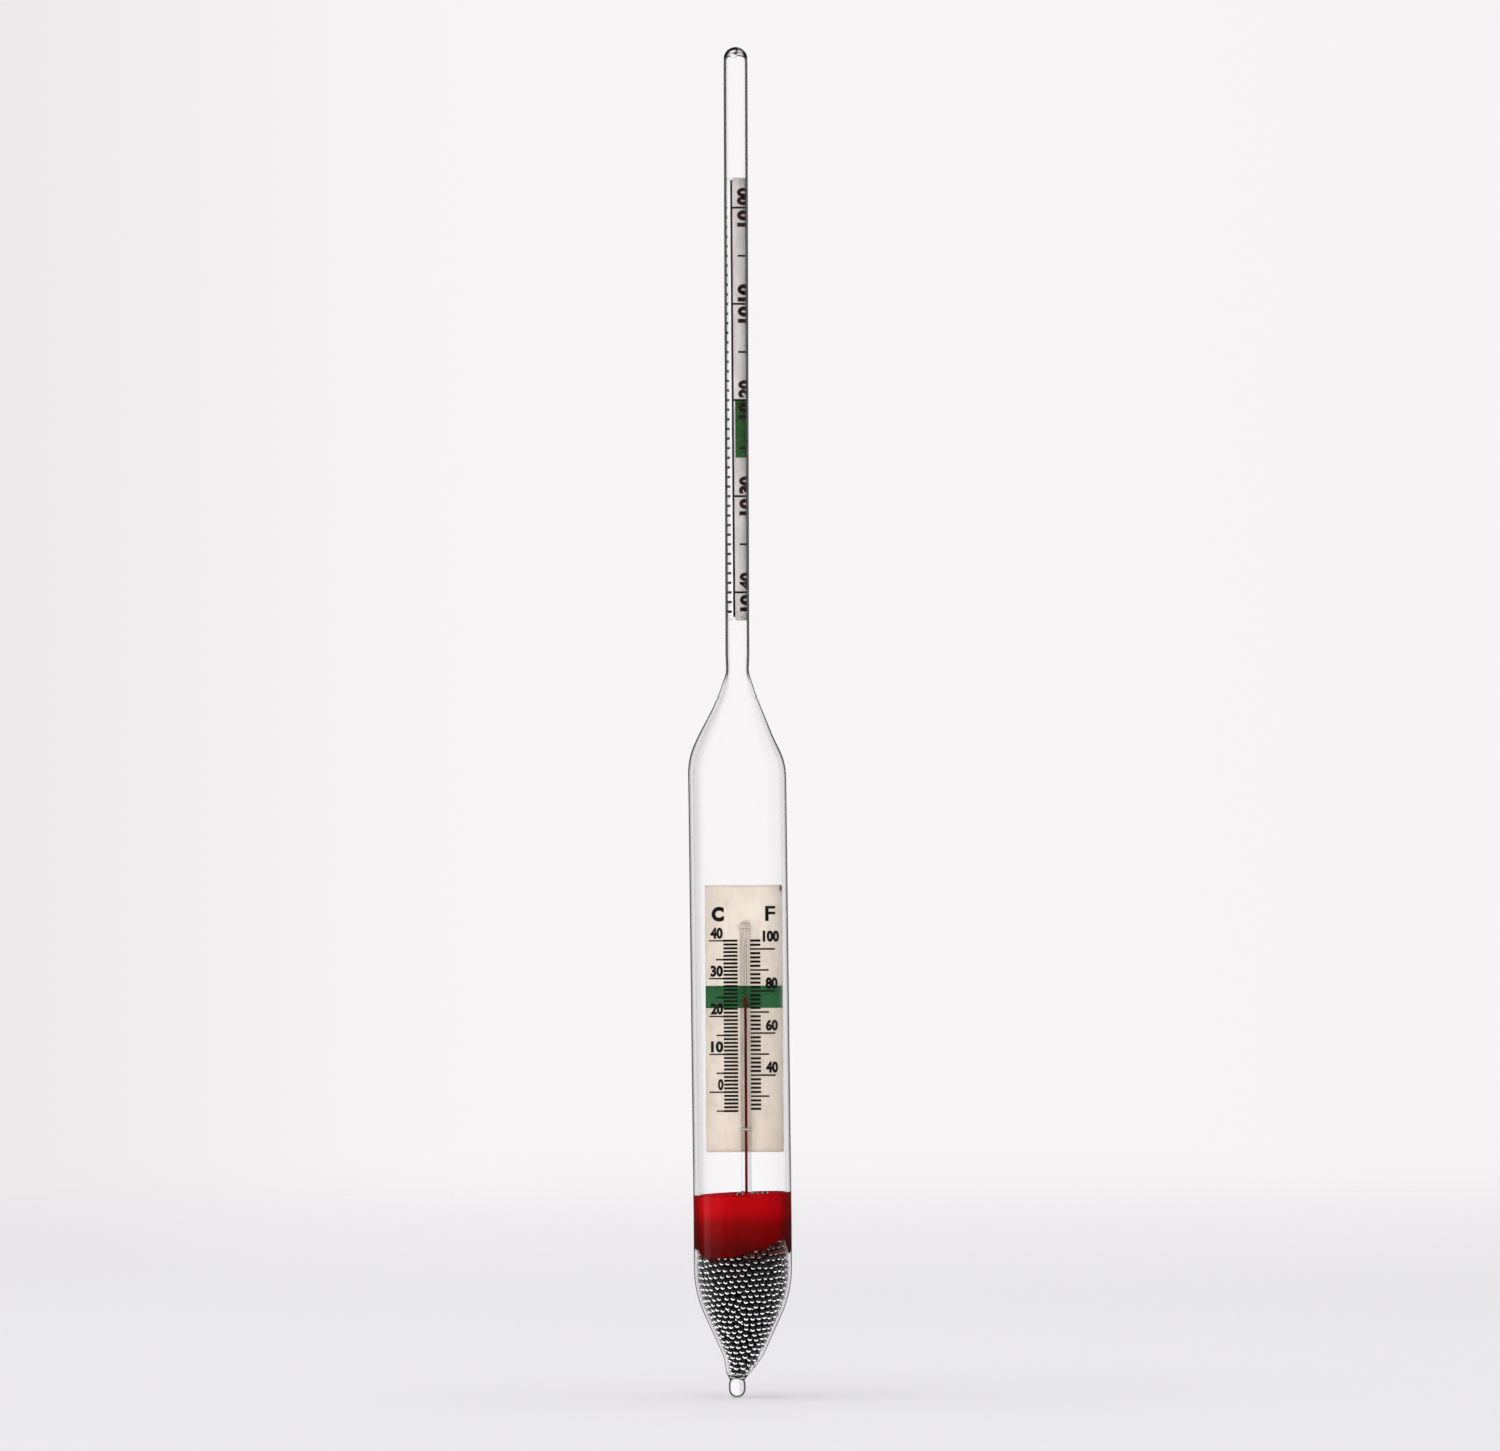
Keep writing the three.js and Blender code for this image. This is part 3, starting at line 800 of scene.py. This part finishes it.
def make_stem_marks():
    """A line up the paper, marks to the right of it, and marks that come round from the back."""
    top, bottom = SCALE_HIGH.z - 0.5e-3, SCALE_LOW.z + 0.7e-3
    half, end = STEM_LINE / 2, arc(LONG_MARK_END)
    marks = [slab(arc(BASELINE) - half, arc(BASELINE) + half, bottom, top, 0.0, INK, 2, 40)]
    for points in range(-2, 43):
        z = gravity_height(points)
        if points % 10 == 0:
            marks.append(slab(arc(BASELINE), end, z - half, z + half, 0.0, INK, 30))
        elif points % 10 == 5:
            marks.append(slab(arc(HALF_MARK_START), end, z - half, z + half, 0.0, INK, 24))
        if points >= 0:
            reach = arc(14 * points / 40 - 56)
            marks.append(slab(arc(BACK_MARK_START), reach, z - 0.25e-3, z + 0.25e-3, 0.0, INK, 14))
    black = ink_finish("black_ink", srgb(16, 14, 16), srgb(44, 40, 42))
    shape = merged(*[on_stem(mark) for mark in marks])
    piece("scale_marks", shape, black, "instrument", smooth=False)


def make_stem_numbers():
    """Each number is two pairs of digits that read upwards, one above its mark and one below."""
    width, height = STEM_NUMBER_SIZE
    left, words = arc(STEM_NUMBER_PLACE), []
    for points in range(0, 41, 10):
        z = gravity_height(points)
        above = lettering(f"{points:02d}", width, height, STEM_NUMBER_WEIGHT)
        below = lettering("10", width * 0.95, height, STEM_NUMBER_WEIGHT)
        words.append(sideways(above, left, z + 0.45e-3))
        words.append(sideways(below, left, z - 0.45e-3 - width * 0.95))
    shape = merged(*[on_stem(sliced(word, 0.15e-3)) for word in words])
    maroon = ink_finish("maroon_ink", srgb(38, 4, 8), srgb(74, 18, 22))
    piece("scale_numbers", shape, maroon, "instrument", smooth=False)


def make_stem_band():
    high, low = gravity_height(20) - 0.1e-3, gravity_height(26)
    band = slab(arc(BASELINE + 13), arc(150), low, high, 0.002e-3, 0.01e-3, 48, 8)
    green = ink_finish("green_band_ink", srgb(28, 80, 28), srgb(52, 108, 44), 0.45)
    piece("scale_green_band", on_stem(band), green, "instrument")


# ---- The thermometer card ----


def on_card(shape):
    """Lays flat coordinates on the curled card: u is across from its middle, w stands proud of it."""

    def lay(places):
        u = places[:, 0]
        face = CARD_MIDDLE_Y - CARD_CURL * (2 * u / CARD_WIDTH) ** 2
        return np.stack([CARD_X + u, face - places[:, 2], places[:, 1]], 1)

    return reshaped(shape, lay)


def celsius_height(degrees):
    return CELSIUS_ZERO_HEIGHT + degrees * CELSIUS_STEP


def fahrenheit_height(degrees):
    return FAHRENHEIT_ZERO_HEIGHT + degrees * FAHRENHEIT_STEP


def make_card():
    half = CARD_WIDTH / 2
    card = slab(-half, half, CARD_LOW.z, CARD_HIGH.z, -CARD_THICKNESS, 0.0, 32, 60)

    def wave(places):
        places = places.copy()
        places[:, 2] += 0.02e-3 * np.sin(places[:, 1] * 260) * (places[:, 0] / half)
        return places

    finish = paper_finish("cream_card", srgb(224, 213, 200), srgb(211, 199, 184))
    piece("card", on_card(reshaped(card, wave)), finish, "instrument", ["thermometer_card"])


def tick(left, right, height, thickness):
    return slab(left, right, height - thickness / 2, height + thickness / 2, 0.0, CARD_INK, 4)


def card_marks():
    """Marks at each degree Celsius on the left and every second degree Fahrenheit on the right."""
    marks, ends = [], CELSIUS_MARK_ENDS
    for degree in range(-5, 41):
        step = 10 if degree % 10 == 0 else 5 if degree % 5 == 0 else 1
        z, short_end = celsius_height(degree), max(ends[step], ends[1] - 0.04e-3)
        marks.append(tick(CELSIUS_MARK_START - 0.02e-3, short_end, z, 0.44e-3))
        if step > 1:
            marks.append(tick(ends[step], ends[1], z, 0.3e-3))
    for degree in range(24, 105, 2):
        step = 20 if degree % 20 == 0 else 10 if degree % 10 == 0 else 2
        z, thickness = fahrenheit_height(degree), 0.46e-3 if step == 2 else 0.34e-3
        marks.append(tick(FAHRENHEIT_MARK_START, FAHRENHEIT_MARK_ENDS[step], z, thickness))
    return marks


def card_numbers():
    words = []

    def word(text, left, right, bottom, tall=CARD_NUMBER_HEIGHT, weight=0.055):
        shape = lettering(text, right - left, tall, weight, CARD_INK)
        words.append(moved(shape, left, bottom))

    for degree in range(0, 41, 10):
        left = -6.85e-3 if degree else -5.5e-3
        word(str(degree), left, -4.35e-3, celsius_height(degree) + 0.35e-3)
    for degree in range(40, 101, 20):
        left, right, rise = (3.65e-3, 6.95e-3, 1.4e-3) if degree == 100 else (4.15e-3, 6.6e-3, 0.45e-3)
        word(str(degree), left, right, fahrenheit_height(degree) + rise)
    word("C", -6.6e-3, -4.1e-3, 95.1e-3, CARD_LETTER_HEIGHT, 0.065)
    word("F", 4.15e-3, 6.2e-3, 95.2e-3, CARD_LETTER_HEIGHT, 0.02)
    return words


def make_card_print():
    shapes = [on_card(moved(shape, PRINT_SHIFT)) for shape in card_marks() + card_numbers()]
    black = ink_finish("card_ink", srgb(8, 7, 7), srgb(26, 22, 22))
    piece("card_print", merged(*shapes), black, "instrument", smooth=False)
    half = CARD_WIDTH / 2 - 0.05e-3
    low, high = (celsius_height(degrees) for degrees in CARD_BAND)
    band = slab(-half, half, low, high, 0.0, 0.02e-3, 24, 4)
    green = ink_finish("card_green_ink", srgb(10, 92, 40), srgb(30, 112, 56), 0.4)
    piece("card_green_band", on_card(band), green, "instrument")


# ---- The thermometer ----


def make_thermometer():
    """Bulb and capillary are one piece of glass, hollow for the spirit."""
    low, top = BULB_LOW.z, CAPILLARY_HIGH.z
    outside = Outline(0, low).bend(BULB_RADIUS, low, BULB_RADIUS, low + BULB_RADIUS, 10)
    outside.line(BULB_RADIUS, BULB_SHOULDER - 1.5e-3, 6)
    outside.bend(BULB_RADIUS, BULB_SHOULDER, CAPILLARY_RADIUS, CAPILLARY_LOW.z, 10)
    outside.line(CAPILLARY_RADIUS, top - CAPILLARY_RADIUS, 60).dome(top, 10)
    cavity = BULB_RADIUS - BULB_WALL
    inside = Outline(0, low + BULB_WALL).bend(cavity, low + BULB_WALL, cavity, low + BULB_RADIUS, 8)
    inside.line(cavity, BULB_SHOULDER - 1.5e-3, 6)
    inside.bend(cavity, BULB_SHOULDER - 0.2e-3, BORE_RADIUS, THREAD_LOW.z - 0.2e-3, 8)
    inside.line(BORE_RADIUS, top - 2.2e-3, 60)
    inside.bend(BORE_RADIUS, top - 1.9e-3, CHAMBER_RADIUS, top - 1.5e-3, 5)
    inside.dome(top - 0.7e-3, 8)
    shape = merged(turned(outside.points, 64), flipped(turned(inside.points, 32)))
    piece(
        "thermometer_glass", moved(shape, CAPILLARY_X, CAPILLARY_Y),
        glass_finish("capillary_glass", (0.994, 0.995, 0.994), 1.33),
        "instrument", ["capillary_tube", "thermometer_bulb"],
    )


def make_thread():
    """The spirit in the bore. Its foot is in the bulb, and its top is hollow."""
    radius = BORE_RADIUS + 0.004e-3
    path = Outline(0, THREAD_LOW.z).line(radius, THREAD_LOW.z).line(radius, THREAD_HIGH.z, 80)
    path.bend(radius * 0.75, THREAD_HIGH.z - 0.12e-3, 0, THREAD_HIGH.z - 0.12e-3, 5)
    shape = moved(turned(path.points, 24), CAPILLARY_X, CAPILLARY_Y)
    thread = piece("spirit_thread", shape, spirit_finish(), None, ["spirit_column"])
    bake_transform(thread)


def lumpy(shape, size, scale, seed):
    """Pushes a shape's surface in and out by smooth noise."""

    def push(places):
        centre = places.mean(0)
        out = []
        for p in places:
            n = noise.noise(Vector(p) * scale + Vector((seed, 0, 0)))
            out.append(p + (p - centre) * size * n)
        return np.array(out)

    return reshaped(shape, push)


def middle_and_radii(node):
    """The middle and half the size of a CAD node's box."""
    low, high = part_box(node)
    return (low + high) / 2, (high - low) / 2


def make_glue():
    clear = glue_finish()
    for node, seed in (("lower_glue_bead", 3.1), ("upper_glue_bead", 7.7)):
        middle, radii = middle_and_radii(node)
        bead = lumpy(ellipsoid(radii, 40, 24), 0.16, 1500, seed)
        piece(node + "_resin", moved(bead, *middle), clear, "instrument", [node])
    middle, radii = middle_and_radii("card_glue_dab")
    dab = moved(lumpy(ellipsoid(radii, 24, 16), 0.25, 3000, 1.7), *middle)
    piece("corner_glue_dab", dab, dark_glue_finish(), "instrument", ["card_glue_dab"])


# ---- Wax and shot ----


def melt_height(x, y):
    """Height of the wax's foot, which has soaked into the heaped shot.

    It rises to the right and at the left wall, and the wax has run down the wall on the right.
    """
    rise = MELT_RISE * np.clip(-x / BODY_RADIUS, 0, None) ** 4
    foot = MELT_HEIGHT + MELT_SLOPE * x + rise + 0.35e-3 * np.sin(1100 * x + 0.6) * np.cos(900 * y)
    return foot + (WAXED_HEIGHT - foot) * smoothstep(x, 0.8 * BODY_RADIUS, 0.87 * BODY_RADIUS)


def wall_radius(z):
    """Radius of the hollow beside the wax, where the wall grows thicker upwards."""
    span = THICK_WALL_HEIGHT - CONE_HEIGHT - CONE_FILLET
    share = np.clip((z - CONE_HEIGHT - CONE_FILLET) / span, 0, 1)
    return BODY_RADIUS - CONE_WALL + (CONE_WALL - BODY_WALL) * share


def make_wax():
    """Rings of points out along the plug's foot, up its side and in along its top."""
    wall, grip = BODY_RADIUS - BODY_WALL, WAX_GRIP
    sides, rings, rows = 160, 26, 30
    angles = np.arange(sides) * 2 * math.pi / sides
    cos, sin = np.cos(angles), np.sin(angles)
    layers = []
    for i in range(rings, 0, -1):
        x, y = wall * cos * i / rings, wall * sin * i / rings
        z = ragged_foot(x, y)
        stretch = (wall_radius(z) + grip) / wall
        layers.append((x * stretch, y * stretch, z))
    layers.reverse()
    foot = layers[-1][2]
    for i in range(1, rows):
        z = foot + (wax_top(wall * cos, wall * sin) - foot) * i / rows
        radius = wall_radius(z) + grip
        layers.append((radius * cos, radius * sin, z))
    for i in range(rings, 0, -1):
        radius = (wall + grip) * i / rings
        x, y = radius * cos, radius * sin
        layers.append((x, y, wax_top(x, y)))
    verts = [(0, 0, float(ragged_foot(0, 0)[0]))]
    for x, y, z in layers:
        verts += list(zip(x, y, z))
    verts.append((0, 0, float(wax_top(0, 0))))
    faces, count = [], len(layers)
    for i in range(sides):
        j = (i + 1) % sides
        faces.append((0, 1 + j, 1 + i))
        for k in range(count - 1):
            a, b = 1 + k * sides, 1 + (k + 1) * sides
            faces.append((a + i, a + j, b + j, b + i))
        last = 1 + (count - 1) * sides
        faces.append((last + i, last + j, len(verts) - 1))
    piece("wax_plug_cast", (np.array(verts), faces), wax_finish(), "instrument", ["wax_plug"])


def wax_top(x, y):
    """The cast top, which lies aslant and creeps up at the glass wall and round the capillary."""
    radius = np.hypot(x, y)
    wall = BODY_RADIUS - BODY_WALL
    creep = 0.35e-3 * np.exp(-(wall - radius) / 0.45e-3)
    near = np.hypot(x - CAPILLARY_X, y - CAPILLARY_Y) - CAPILLARY_RADIUS
    collar = 0.25e-3 * np.exp(-np.clip(near, 0, None) / 0.4e-3)
    return WAX_TOP - 0.2e-3 + WAX_TILT * x + creep + collar


def ragged_foot(x, y):
    """The wax's foot with its lumps, coarse and fine."""

    def lumps(scale, seed):
        points = zip(np.ravel(x), np.ravel(y))
        return np.array([noise.noise(Vector((a * scale, b * scale, seed))) for a, b in points])

    return melt_height(x, y) + 0.9e-3 * lumps(620, 2.3) + 0.5e-3 * lumps(1500, 9.1)


def ball_limit():
    """How far from the axis a ball that touches the glass has its centre, as heights and radii."""
    outline = np.array([point for point in hollow_outline() if point[1] < WAX_TOP])
    along = np.linspace(0, len(outline) - 1, 3000)
    steps = np.arange(len(outline))
    radii, heights = (np.interp(along, steps, outline[:, i]) for i in (0, 1))
    levels = np.linspace(TAIL_FLOOR, WAX_TOP - 2 * SHOT_RADIUS, 500)
    gap = SHOT_RADIUS**2 - (levels[:, None] - heights[None]) ** 2
    room = np.where(gap > 0, radii[None] - np.sqrt(np.clip(gap, 0, None)), 1.0)
    return levels, np.clip(room.min(1) - 0.01e-3, 0, None)


def packed_shot():
    """Centres of the balls: rows at the wall and in shells within it, shaken and pushed apart."""
    rng = np.random.default_rng(12)
    reach = 2 * SHOT_RADIUS
    floor = TAIL_FLOOR + SHOT_RADIUS + 0.1e-3
    levels, limits = ball_limit()
    places = []
    for shell in range(8):
        z, phase = floor + shell * 0.3 * reach, 0.0
        while z < SHOT_TOP:
            radius = float(np.interp(z, levels, limits)) - shell * 0.9 * reach
            slope = 0.91 if z < CONE_HEIGHT else 1.0
            if radius > 0.45 * reach:
                count = int(2 * math.pi * radius / (reach * (1.12 if shell else 1.04)))
                phase += math.pi / count + rng.normal(0, 0.1) * reach / radius
                for angle in phase + np.arange(count) * 2 * math.pi / count:
                    places.append((radius * math.cos(angle), radius * math.sin(angle), z))
            elif radius > 0:
                places.append((0.0, 0.0, z))
            z += (0.95 if shell else 0.91) * reach * slope
    places = np.array(places)
    places[:, 2] += 0.1 * places[:, 0]
    places = places[places[:, 2] < melt_height(places[:, 0], places[:, 1]) + 0.2 * reach]
    places += rng.normal(0, 0.2 * reach, places.shape)
    count = len(places)
    for step in range(260):
        if step % 8 == 0:
            first, second = neighbours(places, reach * 1.3)
        apart = places[second] - places[first]
        distance = np.sqrt((apart**2).sum(1)) + 1e-9
        overlap = np.clip(reach - distance, 0, None)
        push = apart / distance[:, None] * (overlap * 0.45)[:, None]
        for axis in range(3):
            places[:, axis] -= np.bincount(first, push[:, axis], count)
            places[:, axis] += np.bincount(second, push[:, axis], count)
        places[:, 2] = np.maximum(places[:, 2], floor)
        out = np.hypot(places[:, 0], places[:, 1])
        limit = np.interp(places[:, 2], levels, limits)
        places[:, :2] *= np.minimum(1, limit / np.maximum(out, 1e-9))[:, None]
    return places


def neighbours(places, reach):
    """Pairs of points nearer to each other than reach."""
    square = (places**2).sum(1)
    gaps = square[:, None] + square[None, :] - 2 * places @ places.T
    first, second = np.nonzero(np.triu(gaps < reach * reach, 1))
    return first, second


def balls(centres, detail):
    verts, faces = ball_template(detail)
    count = len(verts)
    all_verts = (centres[:, None, :] + verts[None]).reshape(-1, 3)
    starts = np.arange(len(centres)) * count
    all_faces = (faces[None] + starts[:, None, None]).reshape(-1, 3)
    return all_verts, all_faces


def make_shot():
    """Balls seen through the glass have more faces than those in the core."""
    centres = packed_shot()
    depth = np.interp(centres[:, 2], *ball_limit()) - np.hypot(centres[:, 0], centres[:, 1])
    centres = drift(centres)
    seen = depth < 1.6 * SHOT_RADIUS
    steel = steel_finish()
    names = ("steel_shot_tail", "steel_shot_middle", "steel_shot_top", "steel_shot_waxed")
    heights = (0, 14e-3, 22e-3, WAXED_HEIGHT, 1)
    for name, low, high in zip(names, heights, heights[1:]):
        inside = seen & (centres[:, 2] >= low) & (centres[:, 2] < high)
        material = waxed_steel_finish() if low == WAXED_HEIGHT else steel
        fast_piece(name, balls(centres[inside], 3), material, ["shot_bed"] if low == 0 else ())
    fast_piece("steel_shot_core", balls(centres[~seen], 2), steel)
    for node in ("stray_shot_1", "stray_shot_2", "stray_shot_3"):
        middle, _ = middle_and_radii(node)
        fast_piece(node + "_ball", balls(np.array([middle[:]]), 4), steel, [node])


def fast_piece(name, shape, material, replaces=()):
    """A piece with very many triangles."""
    verts, faces = shape
    mesh = bpy.data.meshes.new(name)
    mesh.vertices.add(len(verts))
    mesh.vertices.foreach_set("co", verts.astype(np.float32).ravel())
    mesh.loops.add(faces.size)
    mesh.loops.foreach_set("vertex_index", faces.astype(np.int32).ravel())
    mesh.polygons.add(len(faces))
    mesh.polygons.foreach_set("loop_start", np.arange(0, faces.size, 3, dtype=np.int32))
    mesh.update(calc_edges=True)
    mesh.shade_smooth()
    mesh.materials.append(material)
    obj = bpy.data.objects.new(name, mesh)
    bpy.context.scene.collection.objects.link(obj)
    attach(obj, "instrument")
    if replaces:
        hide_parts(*replaces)


def dress_hidden_spirit():
    """The spirit in the bulb keeps its CAD shape, deep in the wax."""
    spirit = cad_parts["bulb_spirit"]
    spirit.data.materials.clear()
    spirit.data.materials.append(bpy.data.materials["red_spirit"])


# ---- Studio ----


def make_camera():
    camera = bpy.data.cameras.new("camera")
    camera.sensor_width = SENSOR
    camera.lens = SENSOR * CAMERA_DISTANCE / VIEW_WIDTH
    camera.clip_start, camera.clip_end = 0.05, 200
    obj = bpy.data.objects.new("camera", camera)
    bpy.context.scene.collection.objects.link(obj)
    obj.location = Vector((0, -CAMERA_DISTANCE, (LOW.z + HIGH.z) / 2)) + CAMERA_OFFSET
    obj.rotation_euler = (math.pi / 2, math.radians(CAMERA_ROLL), 0)
    bpy.context.scene.camera = obj


def make_world():
    """A white room, whose light depends on how a ray has come to it.

    Rays that come straight or through glass see the white wall. What is matt gets the lamps' full light.
    What is polished mirrors a dim room with a streak on the outer glass and a rim light inside it. The
    balls alone mirror a low glow: such a ray has one mirror and about four glass surfaces.
    """
    world = bpy.data.worlds.new("studio")
    bpy.context.scene.world = world
    graph = Graph(world)
    calc, product, smooth = graph.calc, graph.product, graph.spread
    place = graph.node("ShaderNodeTexCoord", output="Generated")
    path = graph.nodes.new("ShaderNodeLightPath").outputs
    x, y, z = graph.parts(place)

    def towards(*axis):
        return graph.vector_calc("DOT_PRODUCT", place, Vector(axis).normalized(), output="Value")

    def choose(test, otherwise, chosen):
        return graph.mixed(test, otherwise, chosen, kind="FLOAT")

    left = smooth(x, -0.062, -0.02, WALL_LIGHT - 0.09, WALL_LIGHT)
    room = product(left, smooth(x, 0.03, 0.07, 1.0, 0.985))
    through = smooth(x, -0.22, -0.09, 0.8 * THROUGH_LIGHT, THROUGH_LIGHT)

    ahead = towards(0, -1, 0)
    around = product(smooth(ahead, 0.6, 0.75, 1.0, 0.0), smooth(ahead, -0.3, -0.1))
    below = smooth(z, -0.22, -0.1, 1.0, 0.0)
    glow = product(smooth(towards(-0.35, 0, -0.94), 0.1, 0.3), around, below)
    held = calc("COMPARE", path["Transmission Depth"], 4.0, 1.2)
    held = product(held, calc("LESS_THAN", path["Glossy Depth"], 1.5))
    level = smooth(calc("ABSOLUTE", z), 0.35, 0.6, 1.0, 0.0)
    band = product(smooth(ahead, -0.32, -0.15), smooth(ahead, 0.0, 0.25, 1.0, 0.3))
    band = product(band, smooth(ahead, 0.55, 0.75, 1.0, 0.0))
    streak = product(band, smooth(x, -0.8, -0.5, STREAK_LIGHT, 0.0), level)
    sector = calc("PINGPONG", calc("ARCTAN2", x, y), math.pi / 4)
    rim = smooth(sector, math.radians(5), math.radians(18), RIM_DARK, RIM_LIGHT)
    behind = product(smooth(calc("ABSOLUTE", y), 0.3, 0.7, 0.2, 1.0), level)
    inside = calc("GREATER_THAN", path["Transmission Depth"], 0.5)
    edge = product(behind, rim, calc("GREATER_THAN", y, 0.0), inside)
    shine = choose(inside, streak, product(glow, held, GLOW_LIGHT))
    dim = calc("ADD", calc("MAXIMUM", shine, edge), DIM_LIGHT)

    faced = product(smooth(calc("ABSOLUTE", y), 0.4, 0.85, 0.18, 1.0), MATT_LIGHT)
    matt = choose(inside, FLOOR_LIGHT, product(faced, smooth(x, -1.0, 1.0, 1.3, 0.7)))
    mirrored = calc("GREATER_THAN", path["Glossy Depth"], 0.5)
    strength = choose(mirrored, choose(inside, room, through), dim)
    strength = choose(calc("GREATER_THAN", path["Diffuse Depth"], 0.5), strength, matt)
    background = graph.nodes["Background"]
    graph.feed(background.inputs["Strength"], strength)
    graph.feed(background.inputs["Color"], (1.0, 0.972, 0.985, 1))


def make_floor():
    """A pale disc that fades out, and that glass and steel don't show."""
    verts, faces = turned([(0, FLOOR_LEVEL), (FLOOR_RADIUS, FLOOR_LEVEL)], 96)
    mesh = bpy.data.meshes.new("floor")
    mesh.from_pydata(verts.tolist(), [], faces)
    floor = bpy.data.objects.new("floor", mesh)
    bpy.context.scene.collection.objects.link(floor)
    floor.visible_glossy = floor.visible_transmission = False
    finish = Finish("pale_floor", (0.86, 0.87, 0.88), 1.0, Specular_IOR_Level=0.0)
    distance = finish.vector_calc("LENGTH", finish.place, output="Value")
    pale, clear = finish.shader.outputs[0], finish.node("ShaderNodeBsdfTransparent")
    faded = finish.node("ShaderNodeMixShader", finish.spread(distance, 0.35, 1.5), pale, clear)
    output = next(n for n in finish.nodes if n.type == "OUTPUT_MATERIAL")
    finish.feed(output.inputs["Surface"], faded)
    mesh.materials.append(finish.material)


def make_lights():
    lamp = bpy.data.lights.new("overhead", "AREA")
    lamp.shape, lamp.size, lamp.energy = "DISK", 1.6, 4.5
    obj = bpy.data.objects.new("overhead", lamp)
    bpy.context.scene.collection.objects.link(obj)
    obj.location = LAMP_PLACE
    obj.rotation_euler = (-LAMP_PLACE).to_track_quat("-Z", "Y").to_euler()
    obj.visible_glossy = obj.visible_transmission = obj.visible_camera = False


def make_look():
    scene = bpy.context.scene
    scene.view_settings.view_transform = "Standard"
    scene.view_settings.look = "None"
    scene.cycles.max_bounces = 32
    scene.cycles.transmission_bounces = 32
    scene.cycles.glossy_bounces = 12
    scene.cycles.diffuse_bounces = 4
    scene.cycles.transparent_max_bounces = 16


make_camera()
make_world()
make_lights()
make_floor()
make_look()
make_envelope()
make_stem_paper()
make_stem_marks()
make_stem_numbers()
make_stem_band()
make_card()
make_card_print()
make_thermometer()
make_thread()
make_glue()
make_wax()
make_shot()
dress_hidden_spirit()
